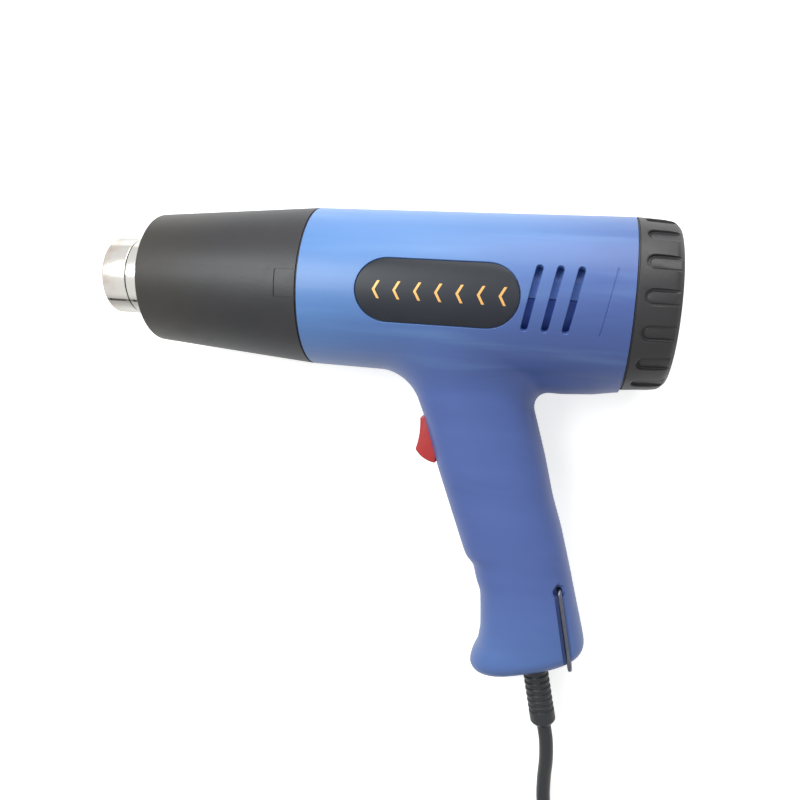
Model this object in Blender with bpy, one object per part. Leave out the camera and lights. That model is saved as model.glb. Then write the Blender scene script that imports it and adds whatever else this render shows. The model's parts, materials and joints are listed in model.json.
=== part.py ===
"""A hot air tool, taken apart into its pieces, in metres.

Every piece is modelled in the gun's own frame: X runs along the barrel from the
nozzle's tip to the rear, Y points to the top of the gun, so the handle goes down -Y,
and Z points to the gun's left side. One empty then lays the gun on its right side.
"""

import math

import bmesh
import bpy
import numpy as np
from mathutils import Matrix, Vector

TURN = 2 * math.pi
GAP = 0.0003  # clearance between neighbouring pieces
SHARP_ANGLE = math.radians(35)  # edges that turn more than this stay sharp
ACROSS_X = Matrix(((0, 0, 1, 0), (1, 0, 0, 0), (0, 1, 0, 0), (0, 0, 0, 1)))  # stands a prism along X

# Barrel: the lengths follow each other from the nozzle's tip to the rear face
NOZZLE_REACH = 0.0227  # how far the nozzle stands out of the shield
SHIELD_LENGTH = 0.0743
HOUSING_LENGTH = 0.1296
CAP_LENGTH = 0.0170
SHIELD_FRONT_RADIUS = 0.0282
SHIELD_REAR_RADIUS = 0.0338
HOUSING_REAR_RADIUS = 0.0349
HOUSING_WALL = 0.0024
SHIELD_WALL = 0.0022
SHIELD_SHOULDER = 0.0012  # rounding of the front shoulder
SPIGOT_WALL = 0.0016
SPIGOT_ROOT = 0.004  # how far the tongue's bore goes on into the shield
SPIGOT_LENGTH = 0.006  # the shield's tongue inside the housing
BARREL_SIDES = 36  # facets round shield and housing

SHIELD_X = NOZZLE_REACH
HOUSING_X = SHIELD_X + SHIELD_LENGTH
CAP_X = HOUSING_X + HOUSING_LENGTH
REAR_X = CAP_X + CAP_LENGTH
HOUSING_TAPER = (HOUSING_REAR_RADIUS - SHIELD_REAR_RADIUS) / HOUSING_LENGTH

# Handle: stations run down its axis from the barrel's underside
HANDLE_SETBACK = 0.0684  # from the housing's front edge to the handle's axis
HANDLE_X = HOUSING_X + HANDLE_SETBACK
HANDLE_LEAN = math.radians(18)  # how far the axis leans to the rear
HANDLE_LENGTH = 0.1288
GRIP_DEPTH = 0.045  # front to rear
GRIP_THICKNESS = 0.0344  # side to side
BUTT_ROUNDING = 0.0062
HANDLE_FILLET = 0.010  # between the handle's sides and the barrel
SPINE_SPREAD = math.radians(25)  # from the spine's crest round to its edge
SECTION_POWER = 2.4  # how square the handle's oval section is

# Nozzle and heater, from the inside out
NOZZLE_RADIUS = 0.017
NOZZLE_SIDES = 28
NOZZLE_WALL = 0.0008
COLLAR_LENGTH = 0.0114
NOZZLE_SEAM = 0.0004
SLEEVE_GRIP = 0.007  # how far the sleeve goes on inside the shield
MOUTH_RADIUS = 0.0146
TUBE_WALL = 0.0008
LINER_WALL = 0.0006
DISC_THICKNESS = 0.0012
HEATER_SETBACK = 0.014  # from the nozzle's tip to the front disc
HEATER_LENGTH = 0.076
CORE_RADIUS = 0.0105
BOARD_THICKNESS = 0.0009
HEATER_WIRE = 0.0005  # radius
HEATER_TURNS = 12
WRAP_THICKNESS = 0.0018
WRAP_END = 0.002  # from the wrap's end to the housing
LINER_OVERHANG = 0.002  # of the liner beyond the discs
COIL_INSET = 0.003  # from the core's ends to the wire's ends
CUT_OUT_LENGTH = 0.004
CUT_OUT_RADIUS = 0.0042

# Fan, motor and duct
DUCT_ROOM = 0.0014  # at least this much between the duct and the housing's wall
DUCT_RADIUS = min(SHIELD_REAR_RADIUS, HOUSING_REAR_RADIUS) - HOUSING_WALL - DUCT_ROOM
DUCT_WALL = 0.0016
DUCT_LENGTH = 0.084  # straight stretch round fan and motor
FUNNEL_LENGTH = 0.040
FUNNEL_GRIP = 0.007  # how much of the barrel tube the funnel holds
DUCT_REAR_GAP = 0.0056  # from the duct's rear end to the cap
IMPELLER_ROOM = 0.0012
IMPELLER_RADIUS = DUCT_RADIUS - DUCT_WALL - IMPELLER_ROOM
IMPELLER_LENGTH = 0.012
IMPELLER_BLADES = 9
IMPELLER_HUB_RADIUS = 0.008
SHAFT_RADIUS = 0.0016
MOTOR_RADIUS = 0.014
MOTOR_LENGTH = 0.032
MOTOR_TO_FAN = 0.009
MOTOR_WALL = 0.0012
MOTOR_CAP_LENGTH = 0.006
CRADLE_WALL = 0.0016
CRADLE_VANES = 6

# Rear cap and intake plate
CAP_WALL = 0.0022
CAP_PADS = 16
PAD_WIDTH = 0.0062
PAD_DEPTH = 0.0009
PAD_START = 0.0034  # from the cap's front edge to a pad's round end
PAD_ANGLE = math.radians(5)  # turn of the first pad up from the gun's left side
CAP_TAPER = 0.0007  # lost from the radius before the rim's rounding
CAP_EDGE = 0.0030  # rounding of the rear rim
CAP_HUB = 0.004  # from the cap's front edge to where its hub meets the plate's
CAP_SCREW_DEPTH = 0.0025
INTAKE_SLOTS = 12
INTAKE_HUB_RADIUS = 0.0075
INTAKE_SHARE = 0.44  # of the ring that the slots take
INTAKE_INNER = 0.0035  # from the hub to the slots
INTAKE_OUTER = 0.0060  # from the slots to the wall
PLATE_THICKNESS = 0.0020
PLATE_SETBACK = 0.0042  # from the cap's front edge to the plate's front

# Side slots and label plates
SLOT_COUNT = 3
SLOT_WIDTH = 0.0026
SLOT_HEIGHT = 0.0256
SLOT_PITCH = 0.0077
SLOT_LEAN = math.radians(10)
SLOT_FROM_REAR = 0.0370  # from the cap's front edge to the first slot's middle
LABEL_LENGTH = 0.064
LABEL_HEIGHT = 0.0254
LABEL_X = HOUSING_X + 0.0562  # the plate's middle
LABEL_THICKNESS = 0.0005

# Switch: the rocker turns on a pin behind the handle's front face
SWITCH_STATION = 0.0221
SWITCH_LENGTH = 0.0224
SWITCH_WIDTH = 0.0112
ROCKER_RADIUS = 0.0115
ROCKER_PIN_DEPTH = 0.0041  # from the handle's front to the pin
ROCKER_TIP = math.radians(37)  # half the angle between the rocker's tips
ROCKER_TILT = math.radians(23)  # at rest the lower tip stands out
ROCKER_DISH = 0.0007  # hollow of the pressed face
SWITCH_DEPTH = 0.0153  # from the pin to the body's inner end
SWITCH_END = 0.001  # of the body above and below the rocker
TERMINAL_LENGTH = 0.006
TERMINAL_WIDTH = 0.0048
TERMINAL_THICKNESS = 0.0008
TERMINAL_SPREAD = 0.006  # up and down from the pin
SWITCH_CHEEK = 0.0016
PIN_RADIUS = 0.0010

# Hanging bail: a wire loop hinged near the back of the butt
BAIL_WIRE = 0.0009  # radius
BAIL_LENGTH = 0.0345
BAIL_PIVOT_RISE = 0.0332  # from the butt's end up to the pivot
BAIL_PIVOT_OFFSET = 0.0163  # behind the handle's axis
BAIL_SIDE = 0.0135  # from the middle plane to a leg
BAIL_STUB = 0.0042  # how far the bent ends reach in
BAIL_TILT = math.radians(-5.6)
BAIL_CORNER = 0.0028
POCKET_LEAD = 0.0022  # room in front of the legs
BAIL_BOSS_RADIUS = 0.0042
PIT_RADIUS = 0.0027  # round the wire's bend at the pivot
PIT_DEPTH = 0.0016

# Strain relief and cord
RELIEF_RADIUS = 0.0056
RELIEF_NECK = 0.0049
RELIEF_LENGTH = 0.0305  # outside the butt
RELIEF_RIBS = 8
RELIEF_COLLAR = 0.0075
RELIEF_OFFSET = -0.0025
RELIEF_TILT = math.radians(-5)
CORD_RADIUS = 0.0031
LEAD_RADIUS = 0.0011

# Housing screws, from station to station of the bosses
SCREW_BOSS_RADIUS = 0.0036
SCREW_RADIUS = 0.0014
SCREW_HEAD_RADIUS = 0.0027
SCREW_HEAD_HEIGHT = 0.0018
SCREW_SEAT = 0.0020  # boss left between the screw's head and the joint
BARREL_SCREW_X = HOUSING_X + 0.0145
BARREL_SCREW_Y = 0.0262
HANDLE_SCREWS = ((0.0445, 0.0165), (0.0860, -0.0105), (0.1170, -0.0165))

# Cord coil, its tie and the plug, lying on the floor
COIL_RADIUS = 0.035  # at the middle of the turns
COIL_START = math.radians(50)  # where the cord comes in, round from +X
COIL_TURNS = 3  # in each of two layers
COIL_SPACING = 0.0068  # from turn to turn and layer to layer
LOOP_POINTS = 20
TIE_THICKNESS = 0.0008
TIE_WIDTH = 0.008
TIE_ROOM = 0.0009  # beside the turns, which curve inside the tie
PLUG_LENGTH = 0.030
PLUG_WIDTH = 0.022
PLUG_HEIGHT = 0.014
BLADE_LENGTH = 0.0175
BLADE_WIDTH = 0.0063
BLADE_THICKNESS = 0.0015
BLADE_SPACING = 0.0127


# Scene and materials


def clear_scene():
    for old in list(bpy.data.objects):
        bpy.data.objects.remove(old, do_unlink=True)


clear_scene()
gun = bpy.data.objects.new("gun_lies_down", None)
bpy.context.collection.objects.link(gun)
materials = {}


def finish(name, colour, roughness, metallic=0.0):
    """A plain material, made once for each name."""
    if name not in materials:
        made = bpy.data.materials.new(name)
        made.use_nodes = True
        shader = made.node_tree.nodes["Principled BSDF"]
        shader.inputs["Base Color"].default_value = (*colour, 1)
        shader.inputs["Roughness"].default_value = roughness
        shader.inputs["Metallic"].default_value = metallic
        made.diffuse_color = (*colour, 1)
        materials[name] = made
    return materials[name]


BLUE = finish("blue_abs", (0.12, 0.22, 0.56), 0.38)
DARK_BLUE = finish("duct_blue", (0.05, 0.10, 0.33), 0.45)
BLACK = finish("black_nylon", (0.05, 0.05, 0.052), 0.5)
RED = finish("rocker_red", (0.55, 0.04, 0.05), 0.35)
STEEL = finish("bright_steel", (0.72, 0.71, 0.69), 0.22, 1.0)
ZINC = finish("zinc_plate", (0.55, 0.56, 0.58), 0.35, 1.0)
MICA = finish("mica", (0.62, 0.55, 0.42), 0.6)
GLASS_WOOL = finish("glass_wool", (0.75, 0.73, 0.68), 0.9)
RESISTANCE_WIRE = finish("resistance_wire", (0.35, 0.33, 0.31), 0.4, 1.0)
COPPER = finish("copper", (0.72, 0.33, 0.16), 0.35, 1.0)
BRASS = finish("brass", (0.75, 0.55, 0.22), 0.3, 1.0)
BOARD = finish("circuit_board", (0.05, 0.22, 0.10), 0.5)
CARBON = finish("carbon", (0.04, 0.04, 0.04), 0.7)
LABEL_BLACK = finish("label_black", (0.035, 0.036, 0.04), 0.35)
PVC = finish("black_pvc", (0.03, 0.03, 0.032), 0.45)
LEAD_RED = finish("lead_red", (0.5, 0.03, 0.03), 0.5)
LEAD_WHITE = finish("lead_white", (0.75, 0.75, 0.72), 0.5)


# Making objects


def place(name, shape, material, pivot=None):
    """Turn a bmesh into an object; a moving piece has its origin on its pivot."""
    mesh = bpy.data.meshes.new(name)
    if pivot is not None:
        bmesh.ops.translate(shape, verts=shape.verts, vec=-Vector(pivot))
    bmesh.ops.recalc_face_normals(shape, faces=shape.faces)
    shape.to_mesh(mesh)
    shape.free()
    mesh.materials.append(material)
    mesh.shade_smooth()
    mesh.set_sharp_from_angle(angle=SHARP_ANGLE)
    piece = bpy.data.objects.new(name, mesh)
    bpy.context.collection.objects.link(piece)
    piece.parent = gun
    if pivot is not None:
        piece.location = pivot
    return piece


def cutter(name, shape):
    """A shape that only joins, cuts or trims others."""
    tool = place(name, shape, BLUE)
    tool.hide_render = True
    tool.display_type = "WIRE"
    return tool


def combine(piece, tool, operation, solver="EXACT"):
    step = piece.modifiers.new(tool.name, "BOOLEAN")
    step.object = tool
    step.operation = operation
    step.solver = solver


def join(shapes):
    """Several separate bodies in one bmesh."""
    together = bmesh.new()
    for shape in shapes:
        scrap = bpy.data.meshes.new("scrap")
        shape.to_mesh(scrap)
        shape.free()
        together.from_mesh(scrap)
        bpy.data.meshes.remove(scrap)
    return together


def shift(shape, matrix):
    bmesh.ops.transform(shape, matrix=matrix, verts=shape.verts)
    return shape


def turned(outline, segments=32, matrix=None):
    """Turn an outline of (x, radius) points about X; it may start and end on X."""
    shape = bmesh.new()
    points = [shape.verts.new((x, 0, radius)) for x, radius in outline]
    edges = [shape.edges.new(pair) for pair in zip(points, points[1:])]
    open_ended = outline[0][1] < 1e-9 and outline[-1][1] < 1e-9
    if not open_ended:
        edges.append(shape.edges.new((points[-1], points[0])))
    bmesh.ops.spin(
        shape, geom=points + edges, cent=(0, 0, 0), axis=(1, 0, 0), angle=TURN, steps=segments
    )
    bmesh.ops.remove_doubles(shape, verts=shape.verts, dist=1e-6)
    bmesh.ops.recalc_face_normals(shape, faces=shape.faces)
    return shift(shape, matrix) if matrix else shape


def half_turned(outline, start, segments=14):
    """Turn a closed outline of (x, radius) points half way round X and cap both ends."""
    shape = bmesh.new()
    rings = []
    for step in range(segments + 1):
        angle = start + math.pi * step / segments
        rings.append([shape.verts.new(around(x, radius, angle)) for x, radius in outline])
    count = len(outline)
    for near, far in zip(rings, rings[1:]):
        for i in range(count):
            j = (i + 1) % count
            shape.faces.new((near[i], near[j], far[j], far[i]))
    shape.faces.new(rings[0])
    shape.faces.new(reversed(rings[-1]))
    return shape


def prism(outline, depth, matrix=None):
    """Extrude a flat outline of (x, y) points from z = 0 to z = depth."""
    shape = bmesh.new()
    face = shape.faces.new([shape.verts.new((x, y, 0)) for x, y in outline])
    raised = bmesh.ops.extrude_face_region(shape, geom=[face], use_keep_orig=True)
    moved = [item for item in raised["geom"] if isinstance(item, bmesh.types.BMVert)]
    bmesh.ops.translate(shape, verts=moved, vec=(0, 0, depth))
    bmesh.ops.recalc_face_normals(shape, faces=shape.faces)
    return shift(shape, matrix) if matrix else shape


def box(low, high, matrix=None):
    shape = bmesh.new()
    size = [b - a for a, b in zip(low, high)]
    middle = [(a + b) / 2 for a, b in zip(low, high)]
    bmesh.ops.create_cube(shape, size=1)
    bmesh.ops.transform(
        shape, matrix=Matrix.Translation(middle) @ Matrix.Diagonal((*size, 1)), verts=shape.verts
    )
    return shift(shape, matrix) if matrix else shape


def rod(start, end, radius, segments=12, end_radius=None):
    start, end = Vector(start), Vector(end)
    shape = bmesh.new()
    bmesh.ops.create_cone(
        shape,
        cap_ends=True,
        segments=segments,
        radius1=radius,
        radius2=radius if end_radius is None else end_radius,
        depth=(end - start).length,
    )
    turn = (end - start).to_track_quat("Z", "X").to_matrix().to_4x4()
    return shift(shape, Matrix.Translation((start + end) / 2) @ turn)


def tube(name, points, radius, material, bevel_resolution=1, pivot=None):
    """A filled curve through its points."""
    curve = bpy.data.curves.new(name, "CURVE")
    curve.dimensions = "3D"
    curve.bevel_depth = radius
    curve.bevel_resolution = bevel_resolution
    curve.use_fill_caps = True
    line = curve.splines.new("POLY")
    line.points.add(len(points) - 1)
    home = Vector(pivot or (0, 0, 0))
    for spot, point in zip(line.points, points):
        spot.co = (*(Vector(point) - home), 1)
    line.use_smooth = True
    curve.materials.append(material)
    piece = bpy.data.objects.new(name, curve)
    bpy.context.collection.objects.link(piece)
    piece.parent = gun
    piece.location = home
    return piece


def smooth_route(points, count):
    """Evenly spaced points on a smooth curve through the given ones."""
    given = np.array(points, float)
    knots = np.concatenate(([0], np.cumsum(np.linalg.norm(np.diff(given, axis=0), axis=1))))
    slopes = np.gradient(given, knots, axis=0)
    dense = []
    for i in range(len(given) - 1):
        span = knots[i + 1] - knots[i]
        for t in np.linspace(0, 1, 20, endpoint=i == len(given) - 2):
            ahead = (2 * t**3 - 3 * t**2 + 1) * given[i] + (t**3 - 2 * t**2 + t) * span * slopes[i]
            behind = (3 * t**2 - 2 * t**3) * given[i + 1] + (t**3 - t**2) * span * slopes[i + 1]
            dense.append(ahead + behind)
    dense = np.array(dense)
    run = np.concatenate(([0], np.cumsum(np.linalg.norm(np.diff(dense, axis=0), axis=1))))
    even = np.linspace(0, run[-1], count)
    return [Vector([np.interp(at, run, dense[:, k]) for k in range(3)]) for at in even]


def around(x, radius, angle):
    """A point on the barrel; the angle rises from the gun's left side to its top."""
    return (x, radius * math.sin(angle), radius * math.cos(angle))


def barrel_radius(x):
    """Outer radius of the housing's barrel, a slight cone."""
    return SHIELD_REAR_RADIUS + (x - HOUSING_X) * HOUSING_TAPER


# Handle shape

HANDLE_ROOT = Vector((HANDLE_X, -barrel_radius(HANDLE_X), 0))
DOWN = Vector((math.sin(HANDLE_LEAN), -math.cos(HANDLE_LEAN), 0))  # along the handle
BACK = Vector((math.cos(HANDLE_LEAN), math.sin(HANDLE_LEAN), 0))  # square to it
HANDLE_MATRIX = Matrix.Translation(HANDLE_ROOT) @ Matrix(
    ((DOWN.x, BACK.x, 0, 0), (DOWN.y, BACK.y, 0, 0), (0, 0, 1, 0), (0, 0, 0, 1))
)

# (distance down from the barrel, step out from the grip's half depth)
FRONT_AT_ROOT = (
    (-0.030, 0.000), (-0.018, 0.002), (-0.0089, 0.0075), (-0.0067, 0.0049), (-0.0035, 0.0029),
    (0.0005, 0.0016), (0.0050, 0.0014), (0.0116, 0.0007), (0.0345, 0.0004), (0.0569, -0.0009),
    (0.0718, -0.0018), (0.0756, -0.0022), (0.0798, -0.0044), (0.0873, -0.0041), (0.0915, -0.0045),
)
REAR_AT_ROOT = (
    (-0.030, -0.002), (-0.005, 0.004), (0.0106, 0.0120), (0.0150, 0.0125), (0.0158, 0.0070),
    (0.0166, 0.0047), (0.0190, 0.0018), (0.0227, 0.0010), (0.0266, 0.0007), (0.0407, 0.0007),
    (0.0585, -0.0001), (0.0729, 0.0003), (0.0910, -0.0002),
)
# (distance up from the butt's end, step out from the grip's half depth)
FRONT_AT_BUTT = (
    (0.0346, -0.0042), (0.0274, -0.0025), (0.0202, -0.0007), (0.0130, 0.0025),
    (0.0097, 0.0055), (0.0063, 0.0076), (0.0025, 0.0081), (0.0, 0.0077),
)
REAR_AT_BUTT = ((0.0239, -0.0008), (0.0094, -0.0013), (0.0057, -0.0016), (0.0, -0.0018))
# (distance down from the barrel, step out from the grip's half thickness)
SIDE_AT_ROOT = ((-0.030, 0.003), (0.0, 0.0018), (0.020, 0.0006), (0.045, 0.0), (0.080, -0.0004))
SIDE_AT_BUTT = ((0.030, -0.0002), (0.018, 0.0006), (0.008, 0.0012), (0.0, 0.0012))


def read_table(at_root, at_butt, station):
    rows = [row for row in at_root]
    rows += [(HANDLE_LENGTH - up, step) for up, step in at_butt if HANDLE_LENGTH - up > rows[-1][0]]
    return float(np.interp(station, [row[0] for row in rows], [row[1] for row in rows]))


def handle_section(station, inset=0.0):
    """Front offset, rear offset and half thickness of the handle at a station."""
    left_over = HANDLE_LENGTH - inset - station
    rounding = max(BUTT_ROUNDING - inset, 0.0005)
    if left_over < rounding:
        inset += rounding - math.sqrt(max(rounding**2 - (rounding - left_over) ** 2, 0))
    front = -GRIP_DEPTH / 2 - read_table(FRONT_AT_ROOT, FRONT_AT_BUTT, station) + inset
    rear = GRIP_DEPTH / 2 + read_table(REAR_AT_ROOT, REAR_AT_BUTT, station) - inset
    side = GRIP_THICKNESS / 2 + read_table(SIDE_AT_ROOT, SIDE_AT_BUTT, station) - inset
    return front, rear, side


def handle_side(station, offset, inset=0.0):
    """Half thickness of the handle at one offset behind its axis."""
    front, rear, side = handle_section(station, inset)
    share = min(abs(2 * offset - front - rear) / (rear - front), 1)
    return side * (1 - share**SECTION_POWER) ** (1 / SECTION_POWER)


def fillet_step(y, side, inset):
    """How far the fillet under the barrel widens the handle at a height y."""
    radius = barrel_radius(HANDLE_X) - inset
    fillet = HANDLE_FILLET + inset
    centre_z = side + fillet
    centre_y = -math.sqrt((radius + fillet) ** 2 - centre_z**2)
    touch_y = centre_y * radius / (radius + fillet)
    if y <= centre_y:
        return 0.0
    reach = min(y, touch_y) - centre_y
    return centre_z - math.sqrt(fillet**2 - reach**2) - side


def handle_loft(stations, points, inset=0.0):
    """The handle as a stack of oval sections, closed at both ends."""
    shape = bmesh.new()
    rings = []
    for station in stations:
        front, rear, side = handle_section(station, inset)
        ring = []
        for k in range(points):
            angle = TURN * (k + 0.5) / points
            along = abs(math.cos(angle)) ** (2 / SECTION_POWER) * math.copysign(1, math.cos(angle))
            across = abs(math.sin(angle)) ** (2 / SECTION_POWER) * math.copysign(1, math.sin(angle))
            offset = (front + rear) / 2 + along * (rear - front) / 2
            spot = HANDLE_ROOT + DOWN * station + BACK * offset
            spot.z = across * (side + fillet_step(spot.y, side, inset))
            ring.append(shape.verts.new(spot))
        rings.append(ring)
    for upper, lower in zip(rings, rings[1:]):
        for k in range(points):
            n = (k + 1) % points
            shape.faces.new((upper[k], upper[n], lower[n], lower[k]))
    shape.faces.new(rings[0])
    shape.faces.new(reversed(rings[-1]))
    bmesh.ops.recalc_face_normals(shape, faces=shape.faces)
    return shape


# (distance in front of the cap, height over the barrel's cone)
SPINE_RISE = (
    (0.0340, 0.0040), (0.0220, 0.0040), (0.0100, 0.0030), (0.0003, 0.0012),
)


def spine_loft(steps=6):
    """A low ridge under the barrel, from the handle's root to the cap, rooted in the wall."""
    shape = bmesh.new()
    rings = []
    for ahead, rise in SPINE_RISE:
        x = CAP_X - ahead
        ring = []
        for k in range(steps + 1):
            part = 2 * k / steps - 1
            height = rise * (1 - part**2) ** 2 if abs(part) < 1 else -GAP
            angle = part * SPINE_SPREAD - math.pi / 2
            ring.append(shape.verts.new(around(x, barrel_radius(x) + height, angle)))
        rings.append(ring)
    for near, far in zip(rings, rings[1:]):
        for k in range(steps + 1):
            n = (k + 1) % (steps + 1)
            shape.faces.new((near[k], near[n], far[n], far[k]))
    shape.faces.new(rings[0])
    shape.faces.new(reversed(rings[-1]))
    bmesh.ops.recalc_face_normals(shape, faces=shape.faces)
    return shape


def in_handle(station, offset, side=0.0):
    """A point given down and behind the handle's axis."""
    return HANDLE_ROOT + DOWN * station + BACK * offset + Vector((0, 0, side))


OUTER_STATIONS = (
    [-0.030, -0.018, -0.0089, -0.0067, -0.0035, 0.0005, 0.0050, 0.0106, 0.0150, 0.0166, 0.0190]
    + [0.0235, 0.0345, 0.0450, 0.0569, 0.0718, 0.0756, 0.0798, 0.0873]
    + [HANDLE_LENGTH - up for up in (0.0346, 0.0274, 0.0202, 0.0130, 0.0097, 0.0063)]
    + [HANDLE_LENGTH - BUTT_ROUNDING * part for part in (0.7, 0.3, 0.08, 0.0)]
)
INNER_STATIONS = (
    [-0.026, -0.0035, 0.0050, 0.0116, 0.0197, 0.0345, 0.0569, 0.0756, 0.0798]
    + [HANDLE_LENGTH - up for up in (0.0346, 0.0202, 0.0130, 0.0063)]
    + [HANDLE_LENGTH - HOUSING_WALL]
)


# Nozzle and heater

TUBE_RADIUS = NOZZLE_RADIUS - NOZZLE_WALL - GAP
TUBE_X = 0.0014
TUBE_END = HOUSING_X + FUNNEL_GRIP
LINER_RADIUS = TUBE_RADIUS - TUBE_WALL - GAP
DISC_RADIUS = LINER_RADIUS - LINER_WALL - GAP
CORE_X = HEATER_SETBACK + DISC_THICKNESS + GAP
CORE_END = CORE_X + HEATER_LENGTH - 2 * (DISC_THICKNESS + GAP)


def ring_outline(start, end, outer, inner):
    return [(start, inner), (start, outer), (end, outer), (end, inner)]


def make_nozzle():
    inner = NOZZLE_RADIUS - NOZZLE_WALL
    edge = NOZZLE_WALL
    collar = [
        (COLLAR_LENGTH, inner), (COLLAR_LENGTH, NOZZLE_RADIUS), (2 * edge, NOZZLE_RADIUS),
        (0.5 * edge, NOZZLE_RADIUS - 0.5 * edge), (0, NOZZLE_RADIUS - 1.7 * edge),
        (0, MOUTH_RADIUS), (edge, MOUTH_RADIUS),
        (edge, inner - 0.4 * edge), (1.6 * edge, inner),
    ]
    place("nozzle_collar", turned(collar, NOZZLE_SIDES), STEEL)
    sleeve_x = COLLAR_LENGTH + NOZZLE_SEAM
    sleeve = ring_outline(sleeve_x, SHIELD_X + SLEEVE_GRIP, NOZZLE_RADIUS, inner)
    place("nozzle_sleeve", turned(sleeve, NOZZLE_SIDES), STEEL)
    barrel = ring_outline(TUBE_X, TUBE_END, TUBE_RADIUS, TUBE_RADIUS - TUBE_WALL)
    place("barrel_tube", turned(barrel, NOZZLE_SIDES), STEEL)
    wrap_x, bore = SHIELD_X + SLEEVE_GRIP + 2 * GAP, TUBE_RADIUS + GAP
    wrap = ring_outline(wrap_x, HOUSING_X - WRAP_END, bore + WRAP_THICKNESS, bore)
    place("insulation_wrap", turned(wrap, 20), GLASS_WOOL)


def vented_disc(name, x):
    """A mica disc with a ring of air holes."""
    end = x + DISC_THICKNESS
    disc = place(name, turned([(x, 0), (x, DISC_RADIUS), (end, DISC_RADIUS), (end, 0)], 16), MICA)
    holes = []
    for k in range(4):
        _, y, z = around(0, DISC_RADIUS * 0.62, TURN * (k + 0.5) / 4)
        holes.append(rod((x - 0.001, y, z), (end + 0.001, y, z), DISC_RADIUS * 0.26, 6))
    combine(disc, cutter(name + "_holes", join(holes)), "DIFFERENCE")


def make_heater():
    end = HEATER_SETBACK + HEATER_LENGTH
    ends = (HEATER_SETBACK - LINER_OVERHANG, end + LINER_OVERHANG)
    liner = ring_outline(*ends, LINER_RADIUS, LINER_RADIUS - LINER_WALL)
    place("mica_liner", turned(liner, 20), MICA)
    vented_disc("heater_front_disc", HEATER_SETBACK)
    vented_disc("heater_rear_disc", end - DISC_THICKNESS)
    half = BOARD_THICKNESS / 2
    cross = []
    for quarter in range(4):
        c, s = round(math.cos(quarter * math.pi / 2)), round(math.sin(quarter * math.pi / 2))
        for a, b in ((CORE_RADIUS, -half), (CORE_RADIUS, half), (half, half)):
            cross.append((a * c - b * s, a * s + b * c))
    stand = Matrix.Translation((CORE_X, 0, 0)) @ Matrix.Rotation(math.pi / 2, 4, "Y")
    place("heater_core", prism(cross, CORE_END - CORE_X, stand), MICA)
    radius = CORE_RADIUS + GAP + HEATER_WIRE
    start, stop = CORE_X + COIL_INSET, CORE_END - COIL_INSET
    steps = HEATER_TURNS * 8  # so that corners of the helix lie over the core's four edges
    helix = [
        around(start + (stop - start) * k / steps, radius, TURN * HEATER_TURNS * k / steps)
        for k in range(steps + 1)
    ]
    coil = tube("heater_coil", helix, HEATER_WIRE, RESISTANCE_WIRE, bevel_resolution=0)
    print("heater coil: gap from turn to turn", (stop - start) / HEATER_TURNS - 2 * HEATER_WIRE)
    cut_out = (end + GAP, 0, 0), (end + GAP + CUT_OUT_LENGTH, 0, 0)
    place("thermal_cutout", rod(*cut_out, CUT_OUT_RADIUS, 16), ZINC)


# Shield


def make_shield():
    edge = SHIELD_SHOULDER
    slope = (SHIELD_REAR_RADIUS - SHIELD_FRONT_RADIUS) / SHIELD_LENGTH
    hole = NOZZLE_RADIUS + GAP
    spigot = SHIELD_REAR_RADIUS - HOUSING_WALL - GAP
    outline = [(SHIELD_X, hole), (SHIELD_X, SHIELD_FRONT_RADIUS - edge)]
    for k in range(1, 4):
        angle = math.pi / 2 * k / 3
        outline.append(
            (SHIELD_X + edge * (1 - math.cos(angle)), SHIELD_FRONT_RADIUS - edge * (1 - math.sin(angle)))
        )
    end = HOUSING_X - GAP
    outline.append((end, SHIELD_FRONT_RADIUS + slope * (end - SHIELD_X)))
    outline.append((end, spigot))
    outline.append((HOUSING_X + SPIGOT_LENGTH, spigot))
    outline.append((HOUSING_X + SPIGOT_LENGTH, spigot - SPIGOT_WALL))
    outline.append((HOUSING_X - SPIGOT_ROOT, spigot - SPIGOT_WALL))
    outline.append((SHIELD_X + SHIELD_WALL, SHIELD_FRONT_RADIUS - SHIELD_WALL))
    outline.append((SHIELD_X + SHIELD_WALL, hole))
    place("front_shield", turned(outline, BARREL_SIDES), BLACK)


# Housing

PIN_OFFSET = handle_section(SWITCH_STATION)[0] + ROCKER_PIN_DEPTH
PIN_SPOT = in_handle(SWITCH_STATION, PIN_OFFSET)
SWITCH_MATRIX = Matrix.Translation(PIN_SPOT) @ Matrix(
    ((DOWN.x, -BACK.x, 0, 0), (DOWN.y, -BACK.y, 0, 0), (0, 0, -1, 0), (0, 0, 0, 1))
)
BAIL_PIVOT = in_handle(HANDLE_LENGTH - BAIL_PIVOT_RISE, BAIL_PIVOT_OFFSET)
POCKET_FLOOR = BAIL_SIDE - BAIL_WIRE - GAP
SCREW_SPOTS = [Vector((BARREL_SCREW_X, side * BARREL_SCREW_Y, 0)) for side in (1, -1)] + [
    in_handle(*spot) for spot in HANDLE_SCREWS
]
DUCT_END = CAP_X - DUCT_REAR_GAP
DUCT_X = DUCT_END - DUCT_LENGTH
RIB_THICKNESS = 0.0016
RIB_SETBACK = 0.001  # from an end of the duct's straight stretch
RIB_SIDES = 24


def stadium(length, height, steps=4):
    """Outline of a slot with round ends, lying along x."""
    half = (length - height) / 2
    outline = []
    for end in (1, -1):
        for k in range(steps + 1):
            angle = math.pi * (k / steps - 0.5) + (0 if end > 0 else math.pi)
            outline.append((end * half + height / 2 * math.cos(angle), height / 2 * math.sin(angle)))
    return outline


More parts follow.
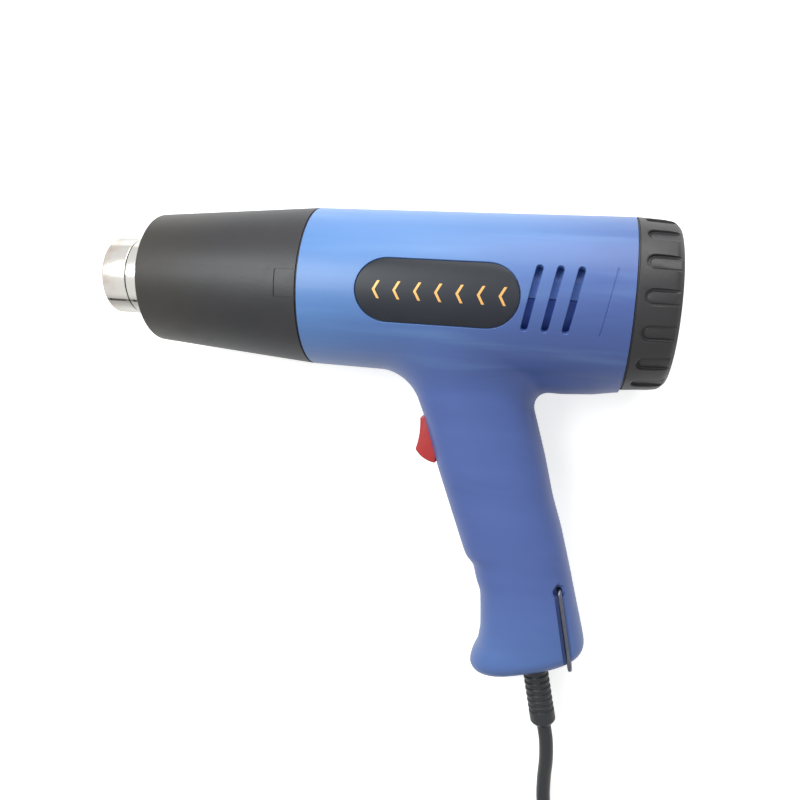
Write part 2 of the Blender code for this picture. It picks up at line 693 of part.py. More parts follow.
def label_shell(length, height, low, high, side):
    """A lozenge bent round the barrel, between two depths under its surface."""
    columns, rows = 12, 3
    shape = bmesh.new()
    layers = []
    for depth in (low, high):
        grid = []
        for i in range(columns + 1):
            u = -math.cos(math.pi * i / columns) * length / 2
            over = abs(u) - (length - height) / 2
            tall = height / 2
            if over > 0:
                tall = math.sqrt(max((height / 2) ** 2 - over**2, 0))
            x = LABEL_X + u
            radius = barrel_radius(x) + depth
            column = []
            for j in range(rows + 1):
                angle = tall * (2 * j / rows - 1) / barrel_radius(LABEL_X)
                y, z = radius * math.sin(angle), side * radius * math.cos(angle)
                column.append(shape.verts.new((x, y, z)))
            grid.append(column)
        layers.append(grid)
    inner, outer = layers
    for i in range(columns):
        for j in range(rows):
            for grid in layers:
                shape.faces.new((grid[i][j], grid[i][j + 1], grid[i + 1][j + 1], grid[i + 1][j]))
        for j in (0, rows):
            shape.faces.new((inner[i][j], inner[i + 1][j], outer[i + 1][j], outer[i][j]))
    for i in (0, columns):
        for j in range(rows):
            shape.faces.new((inner[i][j], inner[i][j + 1], outer[i][j + 1], outer[i][j]))
    bmesh.ops.remove_doubles(shape, verts=shape.verts, dist=1e-6)
    bmesh.ops.dissolve_degenerate(shape, edges=shape.edges, dist=1e-7)
    bmesh.ops.recalc_face_normals(shape, faces=shape.faces)
    return shape


def body_solid(name, inset, spare, stations, points):
    """Barrel and handle as one solid, a given depth under the housing's surface."""
    ends = (HOUSING_X - spare, CAP_X + spare)
    barrel = [(ends[0], 0), (ends[0], barrel_radius(ends[0]) - inset)]
    barrel += [(ends[1], barrel_radius(ends[1]) - inset), (ends[1], 0)]
    solid = cutter(name, turned(barrel, BARREL_SIDES))
    combine(solid, cutter(name + "_handle", handle_loft(stations, points, inset)), "UNION")
    return solid


def make_ribs():
    """Ribs round the duct and bosses for the screws, rooted in the middle of the wall."""
    shapes = []
    reach = DUCT_RADIUS + 0.008
    bore = (DUCT_RADIUS + GAP) / math.cos(math.pi / RIB_SIDES)
    for x in (DUCT_X + RIB_SETBACK, DUCT_END - RIB_THICKNESS - RIB_SETBACK):
        ring = ring_outline(x, x + RIB_THICKNESS, reach, bore)
        shapes.append(turned(ring, RIB_SIDES, Matrix.Rotation(TURN / RIB_SIDES / 4, 4, "X")))
    for spot in SCREW_SPOTS:
        side = Vector((0, 0, reach))
        shapes.append(rod(spot - side, spot + side, SCREW_BOSS_RADIUS, 8))
    for side in (1, -1):
        inner = BAIL_PIVOT + Vector((0, 0, side * (BAIL_SIDE - BAIL_STUB - 0.0005)))
        outer = BAIL_PIVOT + Vector((0, 0, side * reach))
        shapes.append(rod(inner, outer, BAIL_BOSS_RADIUS, 12))
    ribs = cutter("ribs_and_bosses", join(shapes))
    middle = body_solid("middle_of_wall", HOUSING_WALL / 2, -0.001, INNER_STATIONS, 14)
    combine(ribs, middle, "INTERSECT")
    return ribs


def make_openings():
    """Everything that is cut out of both halves of the housing."""
    cuts = []
    for side in (1, -1):
        for k in range(SLOT_COUNT):
            x = CAP_X - SLOT_FROM_REAR + k * SLOT_PITCH
            lean = Matrix.Rotation(math.pi / 2 - SLOT_LEAN, 4, "Z")
            lift = Matrix.Translation((x, 0, DUCT_RADIUS * 0.9 if side > 0 else -DUCT_RADIUS * 1.4))
            cuts.append(prism(stadium(SLOT_HEIGHT, SLOT_WIDTH), DUCT_RADIUS * 0.5, lift @ lean))
    around_rocker = ROCKER_RADIUS + GAP
    half_width = SWITCH_WIDTH / 2 + GAP
    cuts.append(
        rod(PIN_SPOT - Vector((0, 0, half_width)), PIN_SPOT + Vector((0, 0, half_width)), around_rocker, 24)
    )
    relief = in_handle(HANDLE_LENGTH, RELIEF_OFFSET)
    along = relief_direction() * 0.01
    cuts.append(rod(relief - along, relief + along, RELIEF_NECK + GAP, 16))
    return cutter("openings", join(cuts))


def switch_room():
    """Room for the switch's body and pin just behind the handle's front wall."""
    side = SWITCH_WIDTH / 2 + SWITCH_CHEEK + 2 * GAP
    reach = SWITCH_LENGTH / 2 + SWITCH_END + GAP
    return cutter(
        "switch_room", box((-reach, -0.004, -side), (reach, PIN_RADIUS + GAP, side), SWITCH_MATRIX)
    )


def pocket_outline():
    """Room for a bail leg: down from the pivot and open to the rear."""
    top = BAIL_PIVOT_RISE + 0.0035
    lead = math.tan(BAIL_TILT)
    front_top = BAIL_PIVOT_OFFSET - POCKET_LEAD - lead * 0.0035
    front_end = BAIL_PIVOT_OFFSET - POCKET_LEAD + lead * (BAIL_PIVOT_RISE + 0.006)
    back = GRIP_DEPTH / 2 + 0.01
    start = HANDLE_LENGTH - top
    return [
        (start + 0.0018, front_top), (HANDLE_LENGTH + 0.006, front_end),
        (HANDLE_LENGTH + 0.006, back), (start, back), (start, front_top + 0.0022),
    ]


def make_housing():
    """Both halves; EXACT leaves open edges where the ribs meet the thin wall."""
    whole = body_solid("housing_whole", 0.0, 0.0, OUTER_STATIONS, 18)
    combine(whole, cutter("spine", spine_loft()), "UNION")
    room = body_solid("room", HOUSING_WALL, 0.002, INNER_STATIONS, 14)
    combine(whole, room, "DIFFERENCE", "MANIFOLD")
    combine(whole, make_ribs(), "UNION", "MANIFOLD")
    combine(whole, make_openings(), "DIFFERENCE", "MANIFOLD")
    combine(whole, switch_room(), "DIFFERENCE", "MANIFOLD")
    pockets = []
    for side in (1, -1):
        low = POCKET_FLOOR if side > 0 else -GRIP_THICKNESS
        lift = HANDLE_MATRIX @ Matrix.Translation((0, 0, low))
        pockets.append(prism(pocket_outline(), GRIP_THICKNESS - POCKET_FLOOR, lift))
    deep = LABEL_THICKNESS + GAP + 0.0001
    for side in (1, -1):
        pockets.append(label_shell(LABEL_LENGTH + 2 * GAP, LABEL_HEIGHT + 2 * GAP, -deep, 0.002, side))
    combine(whole, cutter("recesses", join(pockets)), "DIFFERENCE", "MANIFOLD")
    reach = Vector((0, 0, GRIP_THICKNESS / 2))
    bore = cutter("bail_holes", rod(BAIL_PIVOT - reach, BAIL_PIVOT + reach, BAIL_WIRE + GAP, 12))
    combine(whole, bore, "DIFFERENCE", "MANIFOLD")
    pit = Vector((0, 0, POCKET_FLOOR - PIT_DEPTH))
    pits = [rod(BAIL_PIVOT + pit * side, BAIL_PIVOT + reach * side, PIT_RADIUS, 12) for side in (1, -1)]
    combine(whole, cutter("bail_pits", join(pits)), "DIFFERENCE", "MANIFOLD")
    rear = CAP_X + HANDLE_LENGTH
    top = 2 * HOUSING_REAR_RADIUS
    bottom = -top - HANDLE_LENGTH
    for name, side in (("housing_left", 1), ("housing_right", -1)):
        low, high = sorted((side * GAP / 2, side * top))
        half = place(name, box((HOUSING_X - HOUSING_WALL, bottom, low), (rear, top, high)), BLUE)
        combine(half, whole, "INTERSECT", "MANIFOLD")
        combine(half, cutter(name + "_screw_holes", screw_holes(side)), "DIFFERENCE", "MANIFOLD")
        if side < 0:
            combine(half, clamp_posts(), "UNION", "MANIFOLD")
            combine(half, clamp_holes(), "DIFFERENCE", "MANIFOLD")


# Screws

SCREW_REACH = 0.0085  # how far a screw goes into the left boss


def screw_holes(side):
    """Blind holes in the left bosses; through holes with deep seats in the right ones."""
    holes = []
    for spot in SCREW_SPOTS:
        if side > 0:
            holes.append(rod(spot, spot + Vector((0, 0, SCREW_REACH + 0.001)), SCREW_RADIUS + GAP, 8))
        else:
            seat = spot - Vector((0, 0, SCREW_SEAT))
            end = spot - Vector((0, 0, DUCT_RADIUS + 0.008))
            holes.append(stepped_hole(spot, seat, end))
    return join(holes)


def stepped_hole(top, seat, end):
    """A shank hole that widens for the screw's head."""
    small, large = SCREW_RADIUS + GAP, SCREW_HEAD_RADIUS + GAP
    depth, full = (top - seat).length, (top - end).length
    outline = [(-0.001, 0), (-0.001, small), (depth, small), (depth, large), (full, large), (full, 0)]
    turn = Matrix.Translation(top) @ Matrix.Rotation(math.pi / 2, 4, "Y")
    return turned(outline, 8, turn)


def screw_shape(head_at, tip, head_radius, shank_radius, head_height):
    """A pan head screw with a cone point, from its head to its tip."""
    direction = (Vector(tip) - Vector(head_at)).normalized()
    full = (Vector(tip) - Vector(head_at)).length
    outline = [
        (-head_height, 0), (-head_height, 0.7 * head_radius), (-0.5 * head_height, head_radius),
        (0, head_radius), (0, shank_radius), (full - shank_radius, shank_radius), (full, 0),
    ]
    turn = direction.to_track_quat("X", "Z").to_matrix().to_4x4()
    return turned(outline, 8, Matrix.Translation(head_at) @ turn)


def make_screws():
    for number, spot in enumerate(SCREW_SPOTS, 1):
        head = spot - Vector((0, 0, SCREW_SEAT + GAP))
        tip = spot + Vector((0, 0, SCREW_REACH))
        shape = screw_shape(head, tip, SCREW_HEAD_RADIUS, SCREW_RADIUS, SCREW_HEAD_HEIGHT)
        place(f"housing_screw_{number}", shape, ZINC)


# Label plates


def make_labels():
    deep = LABEL_THICKNESS + 0.0001
    for name, side in (("label_left", 1), ("label_right", -1)):
        place(name, label_shell(LABEL_LENGTH, LABEL_HEIGHT, -deep, -0.0001, side), LABEL_BLACK)


# Fan duct, motor and rotor

FAN_END = DUCT_END - 0.0015
FAN_X = FAN_END - IMPELLER_LENGTH
MOTOR_END = FAN_X - MOTOR_TO_FAN
MOTOR_X = MOTOR_END - MOTOR_LENGTH
BEARING_RADIUS = 0.0042
BEARING_LENGTH = 0.004
BEARING_BORE = SHAFT_RADIUS + GAP


def make_duct():
    funnel_x = DUCT_X - FUNNEL_LENGTH
    inner = DUCT_RADIUS - DUCT_WALL
    grip = TUBE_RADIUS + GAP
    stop = TUBE_RADIUS - TUBE_WALL
    outline = [
        (funnel_x, grip), (funnel_x, grip + DUCT_WALL), (TUBE_END + 0.003, grip + DUCT_WALL),
        (DUCT_X, DUCT_RADIUS), (DUCT_END, DUCT_RADIUS), (DUCT_END, inner), (DUCT_X, inner),
        (TUBE_END + 0.003, stop), (TUBE_END + GAP, stop), (TUBE_END + GAP, grip),
    ]
    outline = [(max(x, HOUSING_X), radius) for x, radius in outline]
    split = GAP / 2
    port = cutter("wire_port", box((HANDLE_X - 0.022, -0.04, -0.005), (HANDLE_X - 0.010, -0.02, 0.005)))
    for name, start, lift, material in (
        ("fan_duct_upper", 0.0, split, BLUE),
        ("fan_duct_lower", math.pi, -split, DARK_BLUE),
    ):
        shape = half_turned(outline, start)
        half = place(name, shift(shape, Matrix.Translation((0, lift, 0))), material)
        if lift < 0:
            combine(half, port, "DIFFERENCE")


def make_motor():
    wall = MOTOR_WALL
    inner = MOTOR_RADIUS - wall
    seat = BEARING_RADIUS + GAP
    can = [
        (MOTOR_X, inner), (MOTOR_X, MOTOR_RADIUS), (MOTOR_END - 0.001, MOTOR_RADIUS),
        (MOTOR_END, MOTOR_RADIUS - 0.001), (MOTOR_END, seat), (MOTOR_END - wall, seat),
        (MOTOR_END - wall, inner),
    ]
    place("motor_can", turned(can, 20), ZINC)
    cap_x = MOTOR_X - GAP
    cap = [
        (cap_x - MOTOR_CAP_LENGTH, seat), (cap_x - MOTOR_CAP_LENGTH, MOTOR_RADIUS - 0.002),
        (cap_x - 0.001, MOTOR_RADIUS), (cap_x, MOTOR_RADIUS), (cap_x, MOTOR_RADIUS - 0.003),
        (cap_x - 0.003, MOTOR_RADIUS - 0.003), (cap_x - 0.003, seat),
    ]
    place("motor_end_cap", turned(cap, 20), BLACK)
    rear = ring_outline(MOTOR_END - BEARING_LENGTH, MOTOR_END, BEARING_RADIUS, BEARING_BORE)
    place("bearing_rear", turned(rear, 12), BRASS)
    front_x = cap_x - MOTOR_CAP_LENGTH
    front = ring_outline(front_x, front_x + 0.003, BEARING_RADIUS, BEARING_BORE)
    place("bearing_front", turned(front, 12), BRASS)
    ring_x, ring_end = MOTOR_X + 0.003, MOTOR_END - 0.004
    ring = ring_outline(ring_x, ring_end, MOTOR_RADIUS + GAP + CRADLE_WALL, MOTOR_RADIUS + GAP)
    cradle = place("motor_cradle", turned(ring, 24), BLACK)
    vanes = []
    reach = DUCT_RADIUS - DUCT_WALL - GAP
    for k in range(CRADLE_VANES):
        vane = box((ring_x, MOTOR_RADIUS + GAP + CRADLE_WALL / 2, -0.0007), (ring_end, reach, 0.0007))
        vanes.append(shift(vane, Matrix.Rotation(TURN * (k + 0.5) / CRADLE_VANES, 4, "X")))
    combine(cradle, cutter("cradle_vanes", join(vanes)), "UNION")


COMMUTATOR_RADIUS = 0.0036
ARMATURE_RADIUS = 0.0088


def make_rotor():
    """Shaft, commutator, armature and fan, which all turn together."""
    axis = (FAN_X, 0, 0)
    shaft_x = MOTOR_X - GAP - MOTOR_CAP_LENGTH - 0.001
    shaft = rod((shaft_x, 0, 0), (FAN_END - 0.001, 0, 0), SHAFT_RADIUS, 12)
    place("motor_shaft", shaft, ZINC, pivot=axis)
    bore = SHAFT_RADIUS + GAP
    commutator_x = MOTOR_X - GAP - 0.0027
    commutator = ring_outline(commutator_x, commutator_x + 0.0036, COMMUTATOR_RADIUS, bore)
    place("commutator", turned(commutator, 12), COPPER, pivot=axis)
    armature_x = commutator_x + 0.0036 + GAP
    armature_end = MOTOR_END - BEARING_LENGTH - GAP
    armature = ring_outline(armature_x, armature_end, ARMATURE_RADIUS, bore)
    armature[1:3] = [
        (armature_x, ARMATURE_RADIUS * 0.7), (armature_x + 0.003, ARMATURE_RADIUS),
        (armature_end - 0.003, ARMATURE_RADIUS), (armature_end, ARMATURE_RADIUS * 0.7),
    ]
    place("armature", turned(armature, 16), COPPER, pivot=axis)
    hub = [
        (FAN_X, bore), (FAN_X, IMPELLER_HUB_RADIUS), (FAN_END - 0.002, IMPELLER_HUB_RADIUS),
        (FAN_END, IMPELLER_HUB_RADIUS - 0.002), (FAN_END, bore),
    ]
    impeller = place("impeller", turned(hub, 18), BLACK, pivot=axis)
    blades = join([fan_blade(TURN * k / IMPELLER_BLADES) for k in range(IMPELLER_BLADES)])
    combine(impeller, cutter("impeller_blades", blades), "UNION")


def fan_blade(turn):
    """One twisted blade, rooted inside the hub."""
    rows = 3
    half = 0.0005
    shape = bmesh.new()
    rings = []
    for k in range(rows + 1):
        root = IMPELLER_HUB_RADIUS - 0.001
        radius = root + (IMPELLER_RADIUS - root) * k / rows
        pitch = math.radians(55 - 25 * k / rows)
        reach = (IMPELLER_LENGTH - 0.003) / 2 / math.sin(math.radians(55))
        ring = []
        for a, b in ((-reach, -half), (reach, -half), (reach, half), (-reach, half)):
            x = (FAN_X + FAN_END) / 2 + a * math.sin(pitch) + b * math.cos(pitch)
            swing = (a * math.cos(pitch) - b * math.sin(pitch)) / radius
            ring.append(shape.verts.new(around(x, radius, turn + 0.5 * swing)))
        rings.append(ring)
    for near, far in zip(rings, rings[1:]):
        for i in range(4):
            j = (i + 1) % 4
            shape.faces.new((near[i], near[j], far[j], far[i]))
    shape.faces.new(rings[0])
    shape.faces.new(reversed(rings[-1]))
    bmesh.ops.recalc_face_normals(shape, faces=shape.faces)
    return shape


RECTIFIER_THICKNESS = 0.0014
BRIDGE_LENGTH = 0.004
BRIDGE_LOW = -0.0095  # from the axis down to the bridge's bottom
BRIDGE_HIGH = -0.0035
BRIDGE_WIDTH = 0.006
BRUSH_LENGTH = 0.002
BRIDGE_X = MOTOR_X - GAP - MOTOR_CAP_LENGTH - GAP - RECTIFIER_THICKNESS - GAP - BRIDGE_LENGTH


def make_electrics():
    cap_front = MOTOR_X - GAP - MOTOR_CAP_LENGTH
    board_x = cap_front - GAP - RECTIFIER_THICKNESS
    board = ring_outline(board_x, cap_front - GAP, MOTOR_RADIUS - 0.002, SHAFT_RADIUS + 2 * GAP)
    place("rectifier_board", turned(board, 16), BOARD)
    low, high = (BRIDGE_X, BRIDGE_LOW, -BRIDGE_WIDTH / 2), (board_x - GAP, BRIDGE_HIGH, BRIDGE_WIDTH / 2)
    place("bridge_rectifier", box(low, high), BLACK)
    brush_x = MOTOR_X - 2 * GAP - BRUSH_LENGTH - 0.0001
    for name, side in (("brush_upper", 1), ("brush_lower", -1)):
        low, high = sorted((side * (COMMUTATOR_RADIUS + GAP), side * (MOTOR_RADIUS - 0.003 - GAP)))
        half = BRUSH_LENGTH / 2
        place(name, box((brush_x, low, -half), (brush_x + BRUSH_LENGTH, high, half)), CARBON)


# Rear cap

PLATE_X = CAP_X - PLATE_SETBACK
CAP_FACE = REAR_X - CAP_WALL


def intake_slots(start, end):
    """A ring of curved slots through a disc."""
    inner, outer = INTAKE_HUB_RADIUS + INTAKE_INNER, HOUSING_REAR_RADIUS - HOUSING_WALL - INTAKE_OUTER
    span = TURN / INTAKE_SLOTS * INTAKE_SHARE
    bars = []
    for k in range(INTAKE_SLOTS):
        middle = TURN * k / INTAKE_SLOTS
        outline = []
        for radius, order in ((inner, (-1, 1)), (outer, (1, 0, -1))):
            for part in order:
                _, y, z = around(0, radius, middle + part * span / 2)
                outline.append((y, z))
        bars.append(prism(outline, end - start, Matrix.Translation((start, 0, 0)) @ ACROSS_X))
    return join(bars)


def cap_pads():
    """Round-ended grooves down the cap's side, open at its rear rim."""
    grooves = []
    slope = CAP_TAPER / (CAP_LENGTH - 2 * CAP_EDGE)
    bed = HOUSING_REAR_RADIUS * math.cos(PAD_WIDTH / 2 / HOUSING_REAR_RADIUS) - PAD_DEPTH
    lift = Matrix.Translation((REAR_X, 0, bed - slope * CAP_LENGTH)) @ Matrix.Rotation(slope, 4, "Y")
    for k in range(CAP_PADS):
        half = [(x, y) for x, y in stadium((CAP_LENGTH - PAD_START) * 2, PAD_WIDTH, 3) if x < 0]
        half += [(PAD_WIDTH, -PAD_WIDTH / 2), (PAD_WIDTH, PAD_WIDTH / 2)]
        turn = Matrix.Rotation(-(PAD_ANGLE + TURN * k / CAP_PADS), 4, "X")
        grooves.append(prism(half, PAD_WIDTH, turn @ lift))
    return join(grooves)


def make_cap():
    hub_bore = SCREW_RADIUS + GAP
    plate_end = PLATE_X + PLATE_THICKNESS
    rim = HOUSING_REAR_RADIUS - HOUSING_WALL - 2 * GAP
    plate = [
        (PLATE_X, hub_bore), (PLATE_X, rim), (plate_end, rim), (plate_end, INTAKE_HUB_RADIUS),
        (CAP_X + CAP_HUB, INTAKE_HUB_RADIUS), (CAP_X + CAP_HUB, hub_bore),
    ]
    intake = place("intake_plate", turned(plate, 20), BLACK)
    slots = cutter("plate_slots", intake_slots(PLATE_X - 0.001, plate_end + 0.001))
    combine(intake, slots, "DIFFERENCE")
    front = CAP_X + GAP
    hub_x = CAP_X + CAP_HUB + GAP
    seat_x, seat = REAR_X - CAP_SCREW_DEPTH, SCREW_HEAD_RADIUS + GAP
    outline = [(front, HOUSING_REAR_RADIUS - CAP_WALL), (front, HOUSING_REAR_RADIUS)]
    for back, drop in ((2, 0), (0.7, 0.22), (0.25, 0.48), (0, 0.88)):
        outline.append((REAR_X - back * CAP_EDGE, HOUSING_REAR_RADIUS - CAP_TAPER - drop * CAP_EDGE))
    outline += [
        (REAR_X, seat), (seat_x, seat), (seat_x, hub_bore), (hub_x, hub_bore),
        (hub_x, INTAKE_HUB_RADIUS), (CAP_FACE, INTAKE_HUB_RADIUS),
        (CAP_FACE, HOUSING_REAR_RADIUS - CAP_WALL - CAP_TAPER),
    ]
    cap = place("rear_cap", turned(outline, 32), BLACK, pivot=(CAP_X, 0, 0))
    combine(cap, cutter("cap_pads", cap_pads()), "DIFFERENCE")
    combine(cap, cutter("cap_slots", intake_slots(CAP_FACE - 0.001, REAR_X + 0.001)), "DIFFERENCE")
    head = (seat_x + GAP, 0, 0)
    screw = screw_shape(head, (PLATE_X + 0.0005, 0, 0), SCREW_HEAD_RADIUS, SCREW_RADIUS, SCREW_HEAD_HEIGHT)
    place("cap_screw", screw, ZINC)


# Switch

def rocker_outline():
    """Side view of the rocker: half a drum with a hollow face between its tips."""
    middle = math.pi / 2 + ROCKER_TILT
    skirt = math.radians(92)
    rim = 7
    chord, half_chord = ROCKER_RADIUS * math.cos(ROCKER_TIP), ROCKER_RADIUS * math.sin(ROCKER_TIP)

    def arc(start, stop):
        angles = [middle + start + (stop - start) * k / rim for k in range(rim + 1)]
        return [(ROCKER_RADIUS * math.cos(angle), ROCKER_RADIUS * math.sin(angle)) for angle in angles]

    face = []
    for part in (0.6, 0.2, -0.2, -0.6):
        rise, across = chord - ROCKER_DISH * (1 - part**2), half_chord * part
        face.append(
            (
                rise * math.cos(middle) + across * math.sin(middle),
                rise * math.sin(middle) - across * math.cos(middle),
            )
        )
    return arc(-skirt, -ROCKER_TIP) + face + arc(ROCKER_TIP, skirt)


def make_switch():
    half = SWITCH_WIDTH / 2
    outline = rocker_outline()
    lift = SWITCH_MATRIX @ Matrix.Translation((0, 0, -half))
    rocker = place("switch_rocker", prism(outline, SWITCH_WIDTH, lift), RED, pivot=PIN_SPOT)
    across = Vector((0, 0, half + SWITCH_CHEEK + 0.001))
    bore = cutter("rocker_bore", rod(PIN_SPOT - across, PIN_SPOT + across, PIN_RADIUS + GAP, 12))
    combine(rocker, bore, "DIFFERENCE")
    cheek = half + GAP + SWITCH_CHEEK
    reach = SWITCH_LENGTH / 2 + SWITCH_END
    block = box((-reach, -SWITCH_DEPTH, -cheek), (reach, -GAP, cheek), SWITCH_MATRIX)
    body = place("switch_body", block, BLACK)
    room = Vector((0, 0, half + GAP))
    well = cutter("rocker_well", rod(PIN_SPOT - room, PIN_SPOT + room, ROCKER_RADIUS + GAP, 32))
    combine(body, well, "DIFFERENCE")
    combine(body, bore, "DIFFERENCE")
    pin_reach = Vector((0, 0, cheek))
    place("switch_pin", rod(PIN_SPOT - pin_reach, PIN_SPOT + pin_reach, PIN_RADIUS, 12), ZINC)
    thick, wide = TERMINAL_THICKNESS / 2, TERMINAL_WIDTH / 2
    for number, along in enumerate((-TERMINAL_SPREAD, TERMINAL_SPREAD), 1):
        low = (along - thick, -SWITCH_DEPTH - TERMINAL_LENGTH, -wide)
        high = (along + thick, -SWITCH_DEPTH - GAP, wide)
        place(f"switch_terminal_{number}", box(low, high, SWITCH_MATRIX), BRASS)


# Hanging bail


def make_bail():
    """A wire loop: two stubs in the handle's sides, two legs and a crossbar."""
    leg = (DOWN * math.cos(BAIL_TILT) + BACK * math.sin(BAIL_TILT)).normalized()
    corner = BAIL_CORNER
    side = Vector((0, 0, 1))
    route = [(BAIL_SIDE - BAIL_STUB, 0.0)]
    small = 2.2 * BAIL_WIRE
    for k in range(5):
        angle = math.pi / 2 * k / 4
        route.append((BAIL_SIDE - small * (1 - math.sin(angle)), small * (1 - math.cos(angle))))
    for k in range(5):
        angle = math.pi / 2 * k / 4
        route.append(
            (BAIL_SIDE - corner * (1 - math.cos(angle)), BAIL_LENGTH - corner * (1 - math.sin(angle)))
        )
    points = [BAIL_PIVOT + side * z + leg * down for z, down in route]
    points += [BAIL_PIVOT - side * z + leg * down for z, down in reversed(route)]
    tube("hanging_bail", points, BAIL_WIRE, ZINC, bevel_resolution=2, pivot=BAIL_PIVOT)


# Strain relief, clamp and leads


def relief_direction():
    return (DOWN * math.cos(RELIEF_TILT) + BACK * math.sin(RELIEF_TILT)).normalized()


RELIEF_START = in_handle(HANDLE_LENGTH, RELIEF_OFFSET)
FLANGE_RADIUS = 0.0072
FLANGE_THICKNESS = 0.0024
RELIEF_INNER = -HOUSING_WALL - 0.0012 - FLANGE_THICKNESS
CORD_TAPER = 0.0022


def relief_matrix():
    turn = relief_direction().to_track_quat("X", "Z").to_matrix().to_4x4()
    return Matrix.Translation(RELIEF_START) @ turn


def make_relief():
    flange_end = RELIEF_INNER + FLANGE_THICKNESS
    outline = [
        (RELIEF_INNER, 0), (RELIEF_INNER, FLANGE_RADIUS), (flange_end, FLANGE_RADIUS),
        (flange_end, RELIEF_NECK), (0.0008, RELIEF_NECK),
    ]
    ribbed = RELIEF_LENGTH - RELIEF_COLLAR - 0.0008
    pitch = ribbed / RELIEF_RIBS
    for k in range(RELIEF_RIBS):
        x = 0.0008 + pitch * k
        outline += [(x + 0.35 * pitch, RELIEF_RADIUS), (x + pitch, RELIEF_NECK)]
    outline += [
        (RELIEF_LENGTH - RELIEF_COLLAR, RELIEF_RADIUS), (RELIEF_LENGTH - CORD_TAPER, RELIEF_RADIUS),
        (RELIEF_LENGTH - 0.3 * CORD_TAPER, RELIEF_RADIUS * 0.88), (RELIEF_LENGTH, CORD_RADIUS * 1.15),
        (RELIEF_LENGTH, 0),
    ]
    place("strain_relief", turned(outline, 12, relief_matrix()), PVC)


CLAMP_STATION = HANDLE_LENGTH - 0.0190
CLAMP_SPREAD = 0.0078
CLAMP_THICKNESS = 0.0024
CLAMP_LENGTH = 0.007
POST_RADIUS = 0.0030
CLAMP_SCREW_RADIUS = 0.0010
CLAMP_HEAD_RADIUS = 0.0019
CLAMP_HEAD_HEIGHT = 0.0012
CLAMP_HOLE_DEPTH = 0.0065
CLAMP_SHIFT = 0.0014  # of the clamp's middle behind the strain relief's
CLAMP_LIP = 0.0004  # from the channel's side to its flared mouth
CLAMP_EDGE = 0.0028  # thickness at the ears
CLAMP_SEAT = 0.0007  # from the channel up to the screws' heads


def clamp_spots():
    middle = RELIEF_OFFSET + CLAMP_SHIFT
    return [(CLAMP_STATION, middle - CLAMP_SPREAD), (CLAMP_STATION, middle + CLAMP_SPREAD)]


def clamp_posts():
    posts = []
    for station, offset in clamp_spots():
        wall = handle_side(station, offset, HOUSING_WALL) + HOUSING_WALL / 2
        foot, top = in_handle(station, offset, -wall), in_handle(station, offset, -GAP / 2)
        posts.append(rod(foot, top, POST_RADIUS, 12))
    return cutter("clamp_posts", join(posts))


def clamp_holes():
    holes = []
    for station, offset in clamp_spots():
        deep, open_end = in_handle(station, offset, -CLAMP_HOLE_DEPTH), in_handle(station, offset, 0.001)
        holes.append(rod(deep, open_end, CLAMP_SCREW_RADIUS + GAP, 10))
    return cutter("clamp_holes", join(holes))


def make_clamp():
    middle = RELIEF_OFFSET + CLAMP_SHIFT
    channel = CORD_RADIUS + GAP
    reach = CLAMP_SPREAD + POST_RADIUS
    top = channel + CLAMP_THICKNESS
    outline = [
        (-reach, GAP / 2), (-channel - CLAMP_LIP, GAP / 2), (-channel * 0.72, channel * 0.72),
        (0, channel), (channel * 0.72, channel * 0.72), (channel + CLAMP_LIP, GAP / 2),
        (reach, GAP / 2), (reach, CLAMP_EDGE), (channel, top), (-channel, top), (-reach, CLAMP_EDGE),
    ]
    start = CLAMP_STATION - CLAMP_LENGTH / 2
    stand = HANDLE_MATRIX @ Matrix.Translation((start, middle, 0)) @ ACROSS_X
    clamp = place("cord_clamp", prism(outline, CLAMP_LENGTH, stand), BLACK)
    bores, flats = [], []
    seat = channel + CLAMP_SEAT
    for number, (station, offset) in enumerate(clamp_spots(), 1):
        low, middle_height, high = (in_handle(station, offset, z) for z in (-0.001, seat, 0.010))
        bores.append(rod(low, high, CLAMP_SCREW_RADIUS + GAP, 10))
        flats.append(rod(middle_height, high, CLAMP_HEAD_RADIUS + GAP, 12))
        head = in_handle(station, offset, seat + GAP)
        tip = in_handle(station, offset, GAP - CLAMP_HOLE_DEPTH + 0.0005)
        shape = screw_shape(head, tip, CLAMP_HEAD_RADIUS, CLAMP_SCREW_RADIUS, CLAMP_HEAD_HEIGHT)
        place(f"clamp_screw_{number}", shape, ZINC)
    combine(clamp, cutter("clamp_bores", join(bores)), "DIFFERENCE")
    combine(clamp, cutter("clamp_seats", join(flats)), "DIFFERENCE")


CORD_END_STATION = CLAMP_STATION - 0.012
CORD_END_OFFSET = RELIEF_OFFSET + 0.0024
LEAD_SPREAD = 0.0015  # from the cord's middle to a core
LEAD_SPLIT = CORD_END_STATION - 0.010  # where the cores part
LEAD_RETURN_BACK = 0.0120  # the return lead passes behind the switch's body
LEAD_RETURN_SIDE = -0.0060
THROAT = 0.004  # station at which the leads go into the barrel
PORT_SETBACK = 0.016  # from the handle's axis forward to the duct's wire port
PORT_DEPTH = 0.0025  # under the duct
DUCT_ENTRY = 0.010  # how far a lead rises before it turns along the duct
BRIDGE_FOOT = -0.0065  # height of the bridge's soldered leg
HEATER_FOOT = -0.0086  # height of the heater's soldered leg


